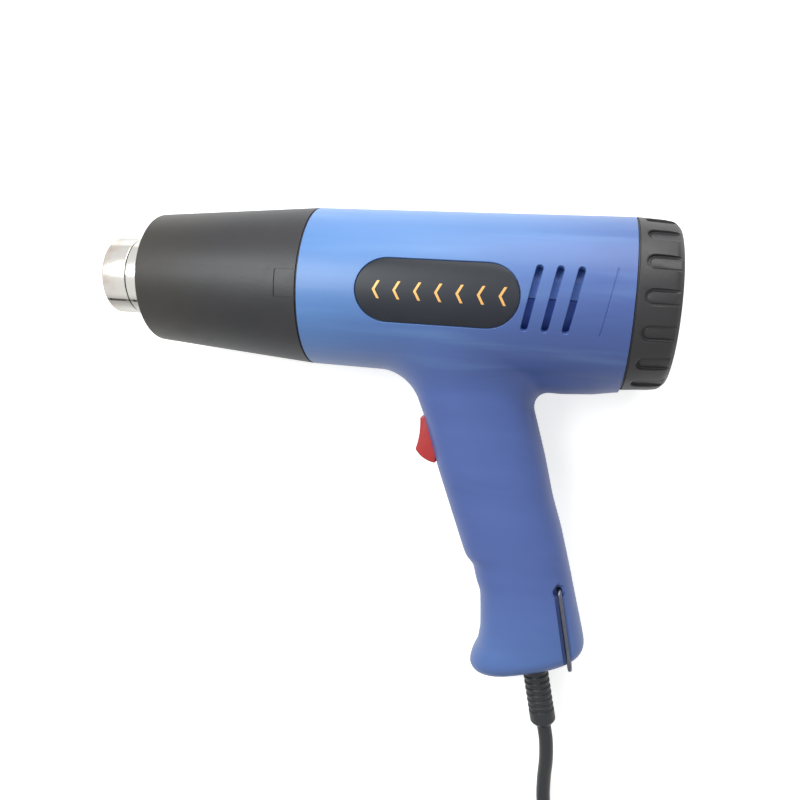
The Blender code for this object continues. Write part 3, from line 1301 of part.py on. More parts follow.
def make_leads():
    behind = RELIEF_START + relief_direction() * (RELIEF_INNER - GAP)
    clamp = in_handle(CLAMP_STATION, RELIEF_OFFSET + CLAMP_SHIFT)
    end = in_handle(CORD_END_STATION, CORD_END_OFFSET)
    tube("cord_end", smooth_route([behind, clamp, end], 8), CORD_RADIUS, PVC, bevel_resolution=2)
    start = in_handle(CORD_END_STATION - 3 * GAP, CORD_END_OFFSET)
    switch_back = PIN_OFFSET + SWITCH_DEPTH + TERMINAL_LENGTH + LEAD_RADIUS + GAP
    tip, bend, clear = TERMINAL_SPREAD, TERMINAL_SPREAD + 0.0045, SWITCH_STATION + 0.020
    port = Vector((HANDLE_X - PORT_SETBACK, -DUCT_RADIUS - PORT_DEPTH, 0))
    disc = HEATER_SETBACK + HEATER_LENGTH
    runs = {
        "lead_supply": (LEAD_RED, [
            start + Vector((0, 0, LEAD_SPREAD)), in_handle(LEAD_SPLIT, 0.0030, LEAD_SPREAD),
            in_handle(clear, 0.0062, 0.0012),
            in_handle(SWITCH_STATION + bend, switch_back + 0.0030, 0.0006),
            in_handle(SWITCH_STATION + tip, switch_back, 0),
        ]),
        "lead_return": (LEAD_WHITE, [
            start - Vector((0, 0, LEAD_SPREAD)), in_handle(LEAD_SPLIT, 0.0050, -0.0025),
            in_handle(clear, 0.0088, LEAD_RETURN_SIDE),
            in_handle(SWITCH_STATION, LEAD_RETURN_BACK, LEAD_RETURN_SIDE),
            in_handle(THROAT, LEAD_RETURN_BACK / 2, -0.0040), port + Vector((0.001, 0, -PORT_DEPTH)),
            port + Vector((0, DUCT_ENTRY, -PORT_DEPTH)), Vector((BRIDGE_X - 0.009, -0.0120, 0)),
            Vector((BRIDGE_X - 0.004, BRIDGE_FOOT, 0)), Vector((BRIDGE_X - 2 * GAP, BRIDGE_FOOT, 0)),
        ]),
        "lead_heater": (LEAD_RED, [
            in_handle(SWITCH_STATION - tip, switch_back, 0),
            in_handle(SWITCH_STATION - bend, switch_back + 0.0028, 0.0010),
            in_handle(THROAT, 0.0010, 0.0030), port + Vector((-0.0015, 0, PORT_DEPTH)),
            port + Vector((-0.0035, DUCT_ENTRY, PORT_DEPTH)), Vector((disc + 0.030, -0.0140, 0.001)),
            Vector((disc + 0.010, HEATER_FOOT, 0)), Vector((disc + 2 * GAP, HEATER_FOOT, 0)),
        ]),
    }
    for name, (material, route) in runs.items():
        tube(name, smooth_route(route, 2 * len(route)), LEAD_RADIUS, material, bevel_resolution=1)


# Cord on the floor

# From the strain relief's end along the floor, and up from where the cord lies
CORD_ROUTE = (
    (0.0025, -0.0160, 0.0078), (0.0026, -0.0280, 0.0040), (0.0034, -0.0400, 0.0011),
    (0.0064, -0.0514, 0.0), (0.0116, -0.0621, 0.0),
)
COIL_CENTRE = (-0.0060, -0.1120)  # from the strain relief's end
TAIL_STEPS = ((0.0080, -0.0011), (0.0150, -0.0022), (0.0220, -0.0022))  # along the floor, and down


def floor_height():
    """Height of the cord's middle where it lies on the tie's thickness."""
    return CORD_RADIUS + TIE_THICKNESS + GAP


def coil_path(centre):
    """Turns that spiral in on the floor, climb, and spiral out again on top."""
    step = COIL_SPACING / LOOP_POINTS
    outer = COIL_RADIUS + COIL_SPACING * COIL_TURNS / 2
    low = floor_height()
    points = []
    half = LOOP_POINTS // 2
    inward = COIL_TURNS * LOOP_POINTS
    total = 2 * inward + half
    for k in range(total + 1):
        angle = COIL_START - TURN * k / LOOP_POINTS
        radius = outer - step * min(k, total - k)
        climb = min(max((k - inward) / half, 0), 1)
        height = low + COIL_SPACING * (0.5 - 0.5 * math.cos(math.pi * climb))
        flat = Vector((radius * math.cos(angle), radius * math.sin(angle), height))
        points.append(centre + flat)
    return points


def closest_turns(points):
    """Least clear distance between stretches of the coil that are a turn apart."""
    spots = np.array([tuple(point) for point in points])
    least = 1.0
    for k in range(len(spots) - LOOP_POINTS // 2):
        rest = spots[k + LOOP_POINTS // 2:]
        least = min(least, float(np.linalg.norm(rest - spots[k], axis=1).min()))
    return least - 2 * CORD_RADIUS


def on_floor(piece):
    """Pieces of the cord lie in the world's frame, not in the gun's."""
    piece.parent = None
    return piece


def make_cord(exit_point, exit_way):
    centre = Vector((exit_point.x + COIL_CENTRE[0], exit_point.y + COIL_CENTRE[1], 0))
    turns = coil_path(centre)
    print("cord coil: least gap to itself", round(closest_turns(turns), 5))
    on_floor(tube("cord_coil", turns, CORD_RADIUS, PVC, bevel_resolution=1))
    start = exit_point + exit_way * GAP
    first = (turns[0] - turns[1]).normalized()
    meet = turns[0] + first * GAP
    low = floor_height()
    route = [start, start + exit_way * 0.006]
    route += [Vector((exit_point.x + x, exit_point.y + y, low + rise)) for x, y, rise in CORD_ROUTE]
    route += [meet + first * 0.006, meet]
    cord = smooth_route(route, 24)
    on_floor(tube("cord", cord, CORD_RADIUS, PVC, bevel_resolution=2))
    last = (turns[-1] - turns[-2]).normalized()
    leave = turns[-1] + last * GAP
    tail = [leave, leave + last * 0.006]
    for along, fall in TAIL_STEPS:
        tail.append(leave + last * (0.006 + along) + Vector((0, 0, fall)))
    tail_points = smooth_route(tail, 8)
    on_floor(tube("cord_tail", tail_points, CORD_RADIUS, PVC, bevel_resolution=2))
    make_tie(centre)
    make_plug(tail_points[-1], last)
    length = sum((b - a).length for path in (cord, turns, tail_points) for a, b in zip(path, path[1:]))
    print("cord length", round(length, 4))


def make_tie(centre):
    """A strap round all the coil's turns at one place."""
    half_width = COIL_SPACING * (COIL_TURNS - 1) / 2 + CORD_RADIUS + TIE_ROOM
    tall = 2 * CORD_RADIUS + COIL_SPACING + 2 * GAP
    corner = CORD_RADIUS + GAP
    outer, inner = [], []
    for cx, cz, start in ((1, 1, 0), (-1, 1, 1), (-1, -1, 2), (1, -1, 3)):
        for k in range(4):
            angle = math.pi / 2 * (start + k / 3)
            x = cx * (half_width - corner)
            z = tall / 2 + cz * (tall / 2 - corner)
            for loop, radius in ((inner, corner), (outer, corner + TIE_THICKNESS)):
                loop.append((x + radius * math.cos(angle), z + radius * math.sin(angle)))
    shape = bmesh.new()
    rings = []
    middle = COIL_RADIUS - COIL_SPACING / 4
    for side in (-TIE_WIDTH / 2, TIE_WIDTH / 2):
        for loop in (outer, inner):
            rings.append([shape.verts.new((x + middle, side, z + TIE_THICKNESS)) for x, z in loop])
    count = len(outer)
    for a, b in ((0, 1), (1, 3), (3, 2), (2, 0)):
        for i in range(count):
            j = (i + 1) % count
            shape.faces.new((rings[a][i], rings[a][j], rings[b][j], rings[b][i]))
    turn = Matrix.Translation(centre) @ Matrix.Rotation(COIL_START - 0.75 * TURN, 4, "Z")
    on_floor(place("coil_tie", shift(shape, turn), PVC))


def make_plug(end, way):
    """A moulded two-blade plug that lies flat beside the coil."""
    way = Vector((way.x, way.y, 0)).normalized()
    turn = way.to_track_quat("X", "Z").to_matrix().to_4x4()
    base = Matrix.Translation(Vector((end.x, end.y, PLUG_HEIGHT / 2)) + way * GAP) @ turn
    shape = bmesh.new()
    rings = []
    neck = CORD_RADIUS * 1.5
    rows = (
        (0.0, neck, neck, end.z - PLUG_HEIGHT / 2), (0.008, neck * 1.15, neck * 1.1, 0.0),
        (0.012, PLUG_WIDTH * 0.40, PLUG_HEIGHT / 2 * 0.9, 0.0),
        (0.016, PLUG_WIDTH / 2, PLUG_HEIGHT / 2, 0.0), (PLUG_LENGTH, PLUG_WIDTH / 2, PLUG_HEIGHT / 2, 0.0),
    )
    for x, wide, tall, rise in rows:
        ring = []
        for k in range(16):
            angle = TURN * (k + 0.5) / 16
            power = 2 / 4
            y = abs(math.cos(angle)) ** power * math.copysign(wide, math.cos(angle))
            z = abs(math.sin(angle)) ** power * math.copysign(tall, math.sin(angle))
            ring.append(shape.verts.new((x, y, z + rise)))
        rings.append(ring)
    for near, far in zip(rings, rings[1:]):
        for i in range(16):
            j = (i + 1) % 16
            shape.faces.new((near[i], near[j], far[j], far[i]))
    shape.faces.new(rings[0])
    shape.faces.new(reversed(rings[-1]))
    on_floor(place("plug_body", shift(shape, base), PVC))
    for number, side in enumerate((-1, 1), 1):
        y = side * BLADE_SPACING / 2
        low = (PLUG_LENGTH + GAP, y - BLADE_THICKNESS / 2, -BLADE_WIDTH / 2)
        high = (PLUG_LENGTH + BLADE_LENGTH, y + BLADE_THICKNESS / 2, BLADE_WIDTH / 2)
        on_floor(place(f"plug_blade_{number}", box(low, high, base), BRASS))


# Laying the gun down


def lying_turn():
    """The turn that lets the barrel's side and the butt's side touch the floor."""
    taper = math.atan(HOUSING_TAPER)
    rest = barrel_radius(HOUSING_X) * math.cos(taper) - HOUSING_X * math.sin(taper)
    loft = handle_loft(OUTER_STATIONS, 24)
    spots = np.array([tuple(corner.co) for corner in loft.verts if corner.co.y < -0.06])
    loft.free()
    low, high = 0.0, math.radians(20)
    for _ in range(40):
        roll = (low + high) / 2
        up = np.array((math.sin(taper), math.cos(taper) * math.sin(roll), math.cos(taper) * math.cos(roll)))
        if (spots @ up).min() > -rest:
            low = roll
        else:
            high = roll
    return Matrix.Rotation(-taper, 4, "Y") @ Matrix.Rotation(roll, 4, "X")


def lay_down():
    """Turn the gun, then put the middle of its box's bottom at the origin."""
    turn = lying_turn()
    gun.matrix_world = turn
    bpy.context.view_layer.update()
    graph = bpy.context.evaluated_depsgraph_get()
    low, high = np.full(3, np.inf), np.full(3, -np.inf)
    for piece in bpy.data.objects:
        if piece.type == "EMPTY" or piece.hide_render or piece.name == "strain_relief":
            continue
        seen = piece.evaluated_get(graph)
        mesh = seen.to_mesh()
        spots = np.empty(len(mesh.vertices) * 3)
        mesh.vertices.foreach_get("co", spots)
        seen.to_mesh_clear()
        spots = spots.reshape(-1, 3) @ np.array(piece.matrix_world.to_3x3()).T
        spots = spots + np.array(piece.matrix_world.translation)
        low, high = np.minimum(low, spots.min(axis=0)), np.maximum(high, spots.max(axis=0))
    home = Vector((-(low[0] + high[0]) / 2, -(low[1] + high[1]) / 2, -low[2]))
    gun.matrix_world = Matrix.Translation(home) @ turn
    bpy.context.view_layer.update()
    print("gun measures", [round(float(value), 4) for value in high - low])


make_nozzle()
make_heater()
make_shield()
make_housing()
make_screws()
make_labels()
make_duct()
make_motor()
make_rotor()
make_electrics()
make_cap()
make_switch()
make_bail()
make_relief()
make_clamp()
make_leads()
lay_down()
relief_end = gun.matrix_world @ (RELIEF_START + relief_direction() * RELIEF_LENGTH)
relief_way = (gun.matrix_world.to_3x3() @ relief_direction()).normalized()
print("strain relief ends at", [round(value, 5) for value in relief_end], "going", list(relief_way))
for label, spot, way in (
    ("barrel axis", Vector((CAP_X, 0, 0)), Vector((1, 0, 0))),
    ("switch pin", PIN_SPOT, Vector((0, 0, 1))),
    ("bail pivot", BAIL_PIVOT, Vector((0, 0, 1))),
):
    world = gun.matrix_world @ spot
    print(label, [round(value, 6) for value in world], [round(v, 6) for v in gun.matrix_world.to_3x3() @ way])
make_cord(relief_end, relief_way)
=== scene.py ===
# %% [markdown]
# # A hot air tool, lying on a pale table
#
# The engineering model comes in as a fixed frame: every solid is already in its place,
# in metres. This lesson dresses it. The smooth skins, the finishes, the light and the
# camera are made here, and each piece rides on the body that carries it.

# %% Load the frame
import json
import math

import bmesh
import bpy
import numpy as np
from mathutils import Matrix, Vector

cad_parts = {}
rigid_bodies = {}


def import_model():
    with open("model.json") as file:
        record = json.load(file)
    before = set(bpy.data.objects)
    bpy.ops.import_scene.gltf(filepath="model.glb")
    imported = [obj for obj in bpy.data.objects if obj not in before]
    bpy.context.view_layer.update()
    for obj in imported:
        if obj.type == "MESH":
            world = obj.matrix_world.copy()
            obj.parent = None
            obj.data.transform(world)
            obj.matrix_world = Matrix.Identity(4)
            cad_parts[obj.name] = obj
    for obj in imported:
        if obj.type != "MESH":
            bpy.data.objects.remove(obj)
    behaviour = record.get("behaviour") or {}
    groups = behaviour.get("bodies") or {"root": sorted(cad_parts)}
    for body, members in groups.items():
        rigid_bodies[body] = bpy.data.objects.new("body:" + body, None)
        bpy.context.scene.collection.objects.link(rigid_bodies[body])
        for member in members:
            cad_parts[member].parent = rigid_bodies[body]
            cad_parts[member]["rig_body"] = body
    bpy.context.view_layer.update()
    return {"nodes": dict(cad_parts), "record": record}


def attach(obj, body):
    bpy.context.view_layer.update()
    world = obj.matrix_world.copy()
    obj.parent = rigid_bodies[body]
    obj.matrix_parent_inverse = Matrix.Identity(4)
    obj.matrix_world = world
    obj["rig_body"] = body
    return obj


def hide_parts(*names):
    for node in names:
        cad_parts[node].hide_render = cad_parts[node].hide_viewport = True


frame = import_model()
nodes = frame["nodes"]

# %% [markdown]
# The gun lies on its right side, a little rolled and pitched. Its own frame is easier to
# think in: x runs from the nozzle's tip to the rear, y points to the gun's top and z to its
# left side. The joints know where the barrel's axis and the bail's axis are, so that frame
# can be rebuilt from them, and every skin is made in it and carried over at the end.

# %% The gun's own frame
TURN = 2 * math.pi
GAP = 0.0003  # clearance between neighbouring pieces
HOUSING_X = 0.0970  # where the shield ends and the housing begins
CAP_X = 0.2266  # where the housing ends and the rear cap begins
joints = {joint["name"]: joint for joint in frame["record"]["behaviour"]["joints"]}
along = Vector(joints["intake_turn"]["axis"]).normalized()
side = Vector(joints["bail_swing"]["axis"])
side = (side - along * side.dot(along)).normalized()
up = side.cross(along)
origin = Vector(joints["intake_turn"]["pos_m"]) - along * CAP_X
GUN = Matrix((along, up, side)).transposed().to_4x4()
GUN.translation = origin
print("nozzle tip at", [round(v, 4) for v in origin])

# %% [markdown]
# The photograph was taken from above, about a third of a metre away, a little to the
# nozzle's side. The camera's place and turn are written in the gun's frame.

# %% Camera
CAMERA_SENSOR = 36.0  # mm
CAMERA_LENS = 33.02  # mm
CAMERA_PLACE = (0.196264, -0.003248, 0.314763)
CAMERA_RIGHT = Vector((0.97840741, 0.06015264, -0.1977387))
CAMERA_UP = Vector((-0.08542443, 0.98886398, -0.12186345))


def put(name, data):
    """An object of the scene, standing at the origin."""
    thing = bpy.data.objects.new(name, data)
    bpy.context.collection.objects.link(thing)
    return thing


scene = bpy.context.scene
camera_data = bpy.data.cameras.new("camera")
camera_data.sensor_width = CAMERA_SENSOR
camera_data.lens = CAMERA_LENS
camera = put("camera", camera_data)
stand = Matrix((CAMERA_RIGHT, CAMERA_UP, CAMERA_RIGHT.cross(CAMERA_UP))).transposed().to_4x4()
stand.translation = CAMERA_PLACE
camera.matrix_world = GUN @ stand
scene.camera = camera
print("camera stands at", [round(v, 3) for v in camera.matrix_world.translation])

# %% [markdown]
# The handle has its own directions too: down its leaning axis, and back, square to it.
# The strain relief, the bail, the switch and the cord all hang on them.

# %% The handle's own directions
HANDLE_X = HOUSING_X + 0.0684
HANDLE_LEAN = math.radians(18)
HANDLE_LENGTH = 0.1288
SHIELD_REAR_RADIUS = 0.0338
HOUSING_REAR_RADIUS = 0.0349
RELIEF_LENGTH = 0.0305
RELIEF_OFFSET = -0.0025  # the strain relief leaves in front of the handle's axis
RELIEF_LEAN = math.radians(-5)
TAPER = (HOUSING_REAR_RADIUS - SHIELD_REAR_RADIUS) / (CAP_X - HOUSING_X)
DOWN = Vector((math.sin(HANDLE_LEAN), -math.cos(HANDLE_LEAN), 0))
BACK = Vector((math.cos(HANDLE_LEAN), math.sin(HANDLE_LEAN), 0))


def barrel_radius(x):
    """Outer radius of the housing's slight cone."""
    return SHIELD_REAR_RADIUS + (x - HOUSING_X) * TAPER


ROOT = Vector((HANDLE_X, -barrel_radius(HANDLE_X), 0))


def in_handle(station, offset, across=0.0):
    """A point given down and behind the handle's axis."""
    return ROOT + DOWN * station + BACK * offset + Vector((0, 0, across))


def leaning(angle):
    """A direction down the handle, turned backwards by an angle."""
    return DOWN * math.cos(angle) + BACK * math.sin(angle)


relief_way = leaning(RELIEF_LEAN)
relief_start = in_handle(HANDLE_LENGTH, RELIEF_OFFSET)
cord_exit = GUN @ (relief_start + relief_way * RELIEF_LENGTH)
cord_way = (GUN.to_3x3() @ relief_way).normalized()
print("the cord leaves at", [round(v, 4) for v in cord_exit])

# %% [markdown]
# ## Cord
# A mains lead is a fixed length of soft cable. It leaves the strain relief straight, comes
# down to the table under its own weight, and the rest is put away in a tied coil just
# outside the picture. A curve with a round bevel is the natural way to make it, because the
# curve's own line is what gets measured. The route's points repeat those of the solids.

# %% Cord routes
CORD_RADIUS = 0.0031
COIL_RADIUS = 0.035
COIL_START = math.radians(50)
COIL_SPACING = 0.0068
COIL_TURNS = 3
TIE_THICKNESS = 0.0008
LYING_HEIGHT = CORD_RADIUS + TIE_THICKNESS + GAP
CORD_STOPS = (
    (0.0025, -0.0160, 0.0078), (0.0026, -0.0280, 0.0040), (0.0034, -0.0400, 0.0011),
    (0.0064, -0.0514, 0.0), (0.0116, -0.0621, 0.0),
)
TAIL_STOPS = ((0.0080, -0.0011), (0.0150, -0.0022), (0.0220, -0.0022))
STRAIGHT = 0.006  # a cord leaves and meets the others straight for this far
COIL_PLACE = (-0.0060, -0.1120)  # the coil's middle, from where the cord leaves
SOLID_TURN_POINTS = 20  # points in each turn of the solids' coil
ROUTE_POINTS = 36
TURN_POINTS = 40
TAIL_POINTS = 12


def smooth_route(points, count):
    """Evenly spaced points on a smooth curve through the given ones."""
    given = np.array(points, float)
    knots = np.concatenate(([0], np.cumsum(np.linalg.norm(np.diff(given, axis=0), axis=1))))
    slopes = np.gradient(given, knots, axis=0)
    dense = []
    for i in range(len(given) - 1):
        span = knots[i + 1] - knots[i]
        for t in np.linspace(0, 1, 20, endpoint=i == len(given) - 2):
            ahead = (2 * t**3 - 3 * t**2 + 1) * given[i] + (t**3 - 2 * t**2 + t) * span * slopes[i]
            behind = (3 * t**2 - 2 * t**3) * given[i + 1] + (t**3 - t**2) * span * slopes[i + 1]
            dense.append(ahead + behind)
    dense = np.array(dense)
    run = np.concatenate(([0], np.cumsum(np.linalg.norm(np.diff(dense, axis=0), axis=1))))
    even = np.linspace(0, run[-1], count)
    return [Vector([np.interp(at, run, dense[:, k]) for k in range(3)]) for at in even]


def coil_route(centre, per_turn):
    """Turns that spiral in on the table, climb, and spiral out again on top."""
    outer = COIL_RADIUS + COIL_SPACING * COIL_TURNS / 2
    inward = COIL_TURNS * per_turn
    half = per_turn // 2
    total = 2 * inward + half
    points = []
    for k in range(total + 1):
        angle = COIL_START - TURN * k / per_turn
        radius = outer - COIL_SPACING / per_turn * min(k, total - k)
        climb = min(max((k - inward) / half, 0), 1)
        height = LYING_HEIGHT + COIL_SPACING * (0.5 - 0.5 * math.cos(math.pi * climb))
        points.append(centre + Vector((radius * math.cos(angle), radius * math.sin(angle), height)))
    return points


def eased(points, joints, reach=4, passes=3):
    """Even out the small kinks where one stretch of cord meets the next."""
    points = list(points)
    for _ in range(passes):
        for joint in joints:
            for k in range(joint - reach, joint + reach):
                points[k] = points[k] * 0.5 + (points[k - 1] + points[k + 1]) * 0.25
    return points


coil_centre = Vector((cord_exit.x + COIL_PLACE[0], cord_exit.y + COIL_PLACE[1], 0))
corners = coil_route(coil_centre, SOLID_TURN_POINTS)
entry = (corners[0] - corners[1]).normalized()
leaving = (corners[-1] - corners[-2]).normalized()
route = [cord_exit + cord_way * GAP, cord_exit + cord_way * (GAP + STRAIGHT)]
route += [Vector((cord_exit.x + x, cord_exit.y + y, LYING_HEIGHT + rise)) for x, y, rise in CORD_STOPS]
route += [corners[0] + entry * (GAP + STRAIGHT), corners[0] + entry * GAP]
tail = [corners[-1] + leaving * GAP, corners[-1] + leaving * (GAP + STRAIGHT)]
for ahead, fall in TAIL_STOPS:
    tail.append(corners[-1] + leaving * (GAP + STRAIGHT + ahead) + Vector((0, 0, fall)))
cord_points = smooth_route(route, ROUTE_POINTS) + coil_route(coil_centre, TURN_POINTS)[1:-1]
tail_start = len(cord_points)
cord_points = eased(cord_points + smooth_route(tail, TAIL_POINTS), (ROUTE_POINTS, tail_start))
cord_length = sum((b - a).length for a, b in zip(cord_points, cord_points[1:]))
print("cord length", round(cord_length, 4), "through", len(cord_points), "points")

# %% The cord's curve
cord_curve = bpy.data.curves.new("cord_whole", "CURVE")
cord_curve.dimensions = "3D"
cord_curve.bevel_depth = CORD_RADIUS
cord_curve.bevel_resolution = 6
cord_curve.use_fill_caps = True
line = cord_curve.splines.new("POLY")
line.points.add(len(cord_points) - 1)
line.points.foreach_set("co", [v for point in cord_points for v in (*point, 1)])
line.use_smooth = True
cord = put("cord_whole", cord_curve)
print("the cord ends at", [round(v, 4) for v in cord_points[-1]])

# %% [markdown]
# ## Tools for making meshes
# Most pieces of such a tool are turned, moulded or pressed, so a few helpers cover them:
# one softens the corners of a drawn outline, one turns an outline about the barrel's axis,
# one lofts rings, and one carves a piece with another. Carving leaves crisp edges, which is
# why the corners that should catch light are rounded in the outlines themselves.


# %% Outlines
def rounded(outline, steps=5):
    """Replace each corner of a closed outline, given as (x, y, radius), by an arc."""
    result = []
    count = len(outline)
    for i in range(count):
        corner = np.array(outline[i][:2], float)
        before = np.array(outline[i - 1][:2], float) - corner
        after = np.array(outline[(i + 1) % count][:2], float) - corner
        radius = outline[i][2] if len(outline[i]) > 2 else 0
        if radius <= 0:
            result.append(tuple(corner))
            continue
        u, v = before / np.linalg.norm(before), after / np.linalg.norm(after)
        half = math.acos(float(np.clip(u @ v, -1, 1))) / 2
        room = 0.49 * min(np.linalg.norm(before), np.linalg.norm(after))
        reach = min(radius / math.tan(half), room)
        radius = reach * math.tan(half)
        centre = corner + (u + v) / np.linalg.norm(u + v) * radius / math.sin(half)
        start, end = corner + u * reach - centre, corner + v * reach - centre
        first = math.atan2(start[1], start[0])
        sweep = (math.atan2(end[1], end[0]) - first + math.pi) % TURN - math.pi
        for k in range(steps + 1):
            angle = first + sweep * k / steps
            result.append((centre[0] + radius * math.cos(angle), centre[1] + radius * math.sin(angle)))
    return result


def stadium(length, height, grow=0.0, steps=10, along=12):
    """Outline of a slot with round ends, lying along its first direction."""
    half, radius = (length - height) / 2, height / 2 + grow
    outline = []
    for end in (1, -1):
        for k in range(steps + 1):
            angle = math.pi * (k / steps - 0.5) + (0 if end > 0 else math.pi)
            outline.append((end * half + radius * math.cos(angle), radius * math.sin(angle)))
        for k in range(1, along):
            outline.append((end * half * (1 - 2 * k / along), end * radius))
    return outline


print("a slot's outline has", len(stadium(2, 1)), "points")


# %% Meshes from rings
def raw_piece(name, points, faces):
    """A mesh object at the origin, just as its points and faces are given."""
    mesh = bpy.data.meshes.new(name)
    mesh.from_pydata([tuple(point) for point in points], [], faces)
    return put(name, mesh)


def new_piece(name, points, faces):
    """A mesh object with its doubles merged and its faces turned outwards."""
    piece = raw_piece(name, points, faces)
    shape = bmesh.new()
    shape.from_mesh(piece.data)
    bmesh.ops.remove_doubles(shape, verts=shape.verts, dist=1e-6)
    bmesh.ops.dissolve_degenerate(shape, edges=shape.edges, dist=1e-7)
    bmesh.ops.recalc_face_normals(shape, faces=shape.faces)
    shape.to_mesh(piece.data)
    shape.free()
    return piece


def loft(name, rings, closed=False, caps=True):
    """Join rings of equal length; the ends are capped, or the last ring meets the first."""
    count = len(rings[0])
    points = [point for ring in rings for point in ring]
    faces = []
    pairs = len(rings) if closed else len(rings) - 1
    for row in range(pairs):
        low, high = row * count, (row + 1) % len(rings) * count
        for i in range(count):
            j = (i + 1) % count
            faces.append((low + i, low + j, high + j, high + i))
    if caps and not closed:
        faces.append(tuple(range(count)))
        faces.append(tuple(range((len(rings) - 1) * count, len(rings) * count)))
    return new_piece(name, points, faces)


def around(x, radius, angle):
    """A point on the barrel; the angle rises from the gun's left side to its top."""
    return (x, radius * math.sin(angle), radius * math.cos(angle))


def turned(name, outline, segments=96, axis=None):
    """Turn a closed outline of (x, radius) about the barrel's axis, or about another."""
    rings = []
    for k in range(segments):
        ring = [Vector(around(x, radius, TURN * k / segments)) for x, radius in outline]
        rings.append([axis @ point for point in ring] if axis else ring)
    return loft(name, rings, closed=True)


def rod(name, start, end, radius, segments=32):
    """A plain round bar between two points."""
    way = Vector(end) - Vector(start)
    turn = Matrix.Translation(start) @ way.to_track_quat("X", "Z").to_matrix().to_4x4()
    rings = []
    for x in (0, way.length):
        rings.append([turn @ Vector(around(x, radius, TURN * k / segments)) for k in range(segments)])
    return loft(name, rings)


print("turned, lofted and rod shapes are ready")


# %% Carving and settling
def settle(piece):
    """Bake a piece's modifiers into its mesh."""
    graph = bpy.context.evaluated_depsgraph_get()
    mesh = bpy.data.meshes.new_from_object(piece.evaluated_get(graph))
    piece.modifiers.clear()
    piece.data = mesh
    return piece


def carve(piece, tool, operation="DIFFERENCE"):
    """Cut, join or trim a piece with a tool, which is used up."""
    step = piece.modifiers.new("carve", "BOOLEAN")
    step.object = tool
    step.operation = operation
    step.solver = "MANIFOLD"
    settle(piece)
    bpy.data.objects.remove(tool)
    return piece


def merged(tools):
    """Several separate tools as one."""
    points, faces = [], []
    for tool in tools:
        base = len(points)
        points += [corner.co.copy() for corner in tool.data.vertices]
        faces += [tuple(base + i for i in face.vertices) for face in tool.data.polygons]
        bpy.data.objects.remove(tool)
    return new_piece("tools", points, faces)


def both_sides(piece):
    """A piece and its copy, turned half round about the x axis, as one."""
    other = put("other", piece.data.copy())
    other.data.transform(Matrix.Rotation(math.pi, 4, "X"))
    return merged([piece, other])


def soften_edges(piece, width, segments=3, limit=35):
    """Round the edges that turn more than a limit."""
    step = piece.modifiers.new("round", "BEVEL")
    step.width = width
    step.segments = segments
    step.limit_method = "ANGLE"
    step.angle_limit = math.radians(limit)
    return settle(piece)


def dress(piece, material, body, replaced, matrix=GUN, limit=32):
    """Carry a finished mesh to its place, shade it, and let it ride and stand for nodes."""
    piece.data.transform(matrix)
    piece.data.materials.clear()
    piece.data.materials.append(material)
    piece.data.shade_smooth()
    piece.data.set_sharp_from_angle(angle=math.radians(limit))
    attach(piece, body)
    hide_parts(*replaced)
    print(piece.name, "has", len(piece.data.polygons), "faces")
    return piece


# %% [markdown]
# ## Finishes
# A finish is a small graph of nodes. Written node by node it is hard to read, so one class
# wraps a socket: sums and products on it add Math nodes, and one method makes any other
# node. Patterns read Object coordinates. As every piece's object sits at the origin, these
# are the table's own coordinates, and a Mapping node turns them into the gun's.


# %% A socket that can be reckoned with
class Wire:
    """An output of a node tree; expressions on it add Math nodes."""

    def __init__(self, tree, socket=None):
        self.tree = tree
        self.socket = socket

    def add(self, kind, settings=None, sockets=None, output=0):
        """Make a node: its settings first, then the values or links of its sockets."""
        node = self.tree.nodes.new(kind)
        for key, value in (settings or {}).items():
            setattr(node, key, value)
        for key, value in (sockets or {}).items():
            if isinstance(value, Wire):
                self.tree.links.new(value.socket, node.inputs[key])
            else:
                node.inputs[key].default_value = value
        return Wire(self.tree, node.outputs[output])

    def maths(self, operation, *values):
        """A Math node on this and other values."""
        return self.add("ShaderNodeMath", {"operation": operation}, dict(enumerate(values)))

    def __add__(self, other):
        return self.maths("ADD", self, other)

    def __sub__(self, other):
        return self.maths("SUBTRACT", self, other)

    def __rsub__(self, other):
        return self.maths("SUBTRACT", other, self)

    def __mul__(self, other):
        return self.maths("MULTIPLY", self, other)

    __radd__ = __add__
    __rmul__ = __mul__

    def size(self):
        return self.maths("ABSOLUTE", self)

    def sine(self):
        return self.maths("SINE", self)

    def most(self, other):
        return self.maths("MAXIMUM", self, other)

    def step(self, low, high):
        """0 below low, 1 above high, and smooth between them."""
        sockets = {"Value": self, "From Min": low, "From Max": high}
        return self.add("ShaderNodeMapRange", {"interpolation_type": "SMOOTHSTEP"}, sockets)

    def mix(self, low, high):
        """The colour low where this is 0 and high where it is 1."""
        return self.add("ShaderNodeMix", {"data_type": "RGBA"}, {0: self, 6: low, 7: high}, 2)

    def noise(self, scale, detail=3.0, roughness=0.5):
        sockets = {"Vector": self, "Scale": scale, "Detail": detail, "Roughness": roughness}
        return self.add("ShaderNodeTexNoise", {}, sockets, "Fac")

    def stretched(self, x, y, z):
        return self.add("ShaderNodeMapping", {}, {"Vector": self, "Scale": (x, y, z)})

    def parts(self):
        return [self.add("ShaderNodeSeparateXYZ", {}, {"Vector": self}, k) for k in range(3)]

    def bump(self, depth, strength=1.0):
        sockets = {"Height": self, "Distance": depth, "Strength": strength}
        return self.add("ShaderNodeBump", {}, sockets, "Normal")


def rgb(red, green, blue):
    """A colour from the 0 to 255 values that a screen shows."""
    linear = []
    for value in (red, green, blue):
        share = value / 255
        linear.append(share / 12.92 if share <= 0.04045 else ((share + 0.055) / 1.055) ** 2.4)
    return (*linear, 1)


def shaded(colour, by):
    """The same colour, lighter or darker."""
    return tuple(min(value * by, 1) for value in colour[:3]) + (1,)


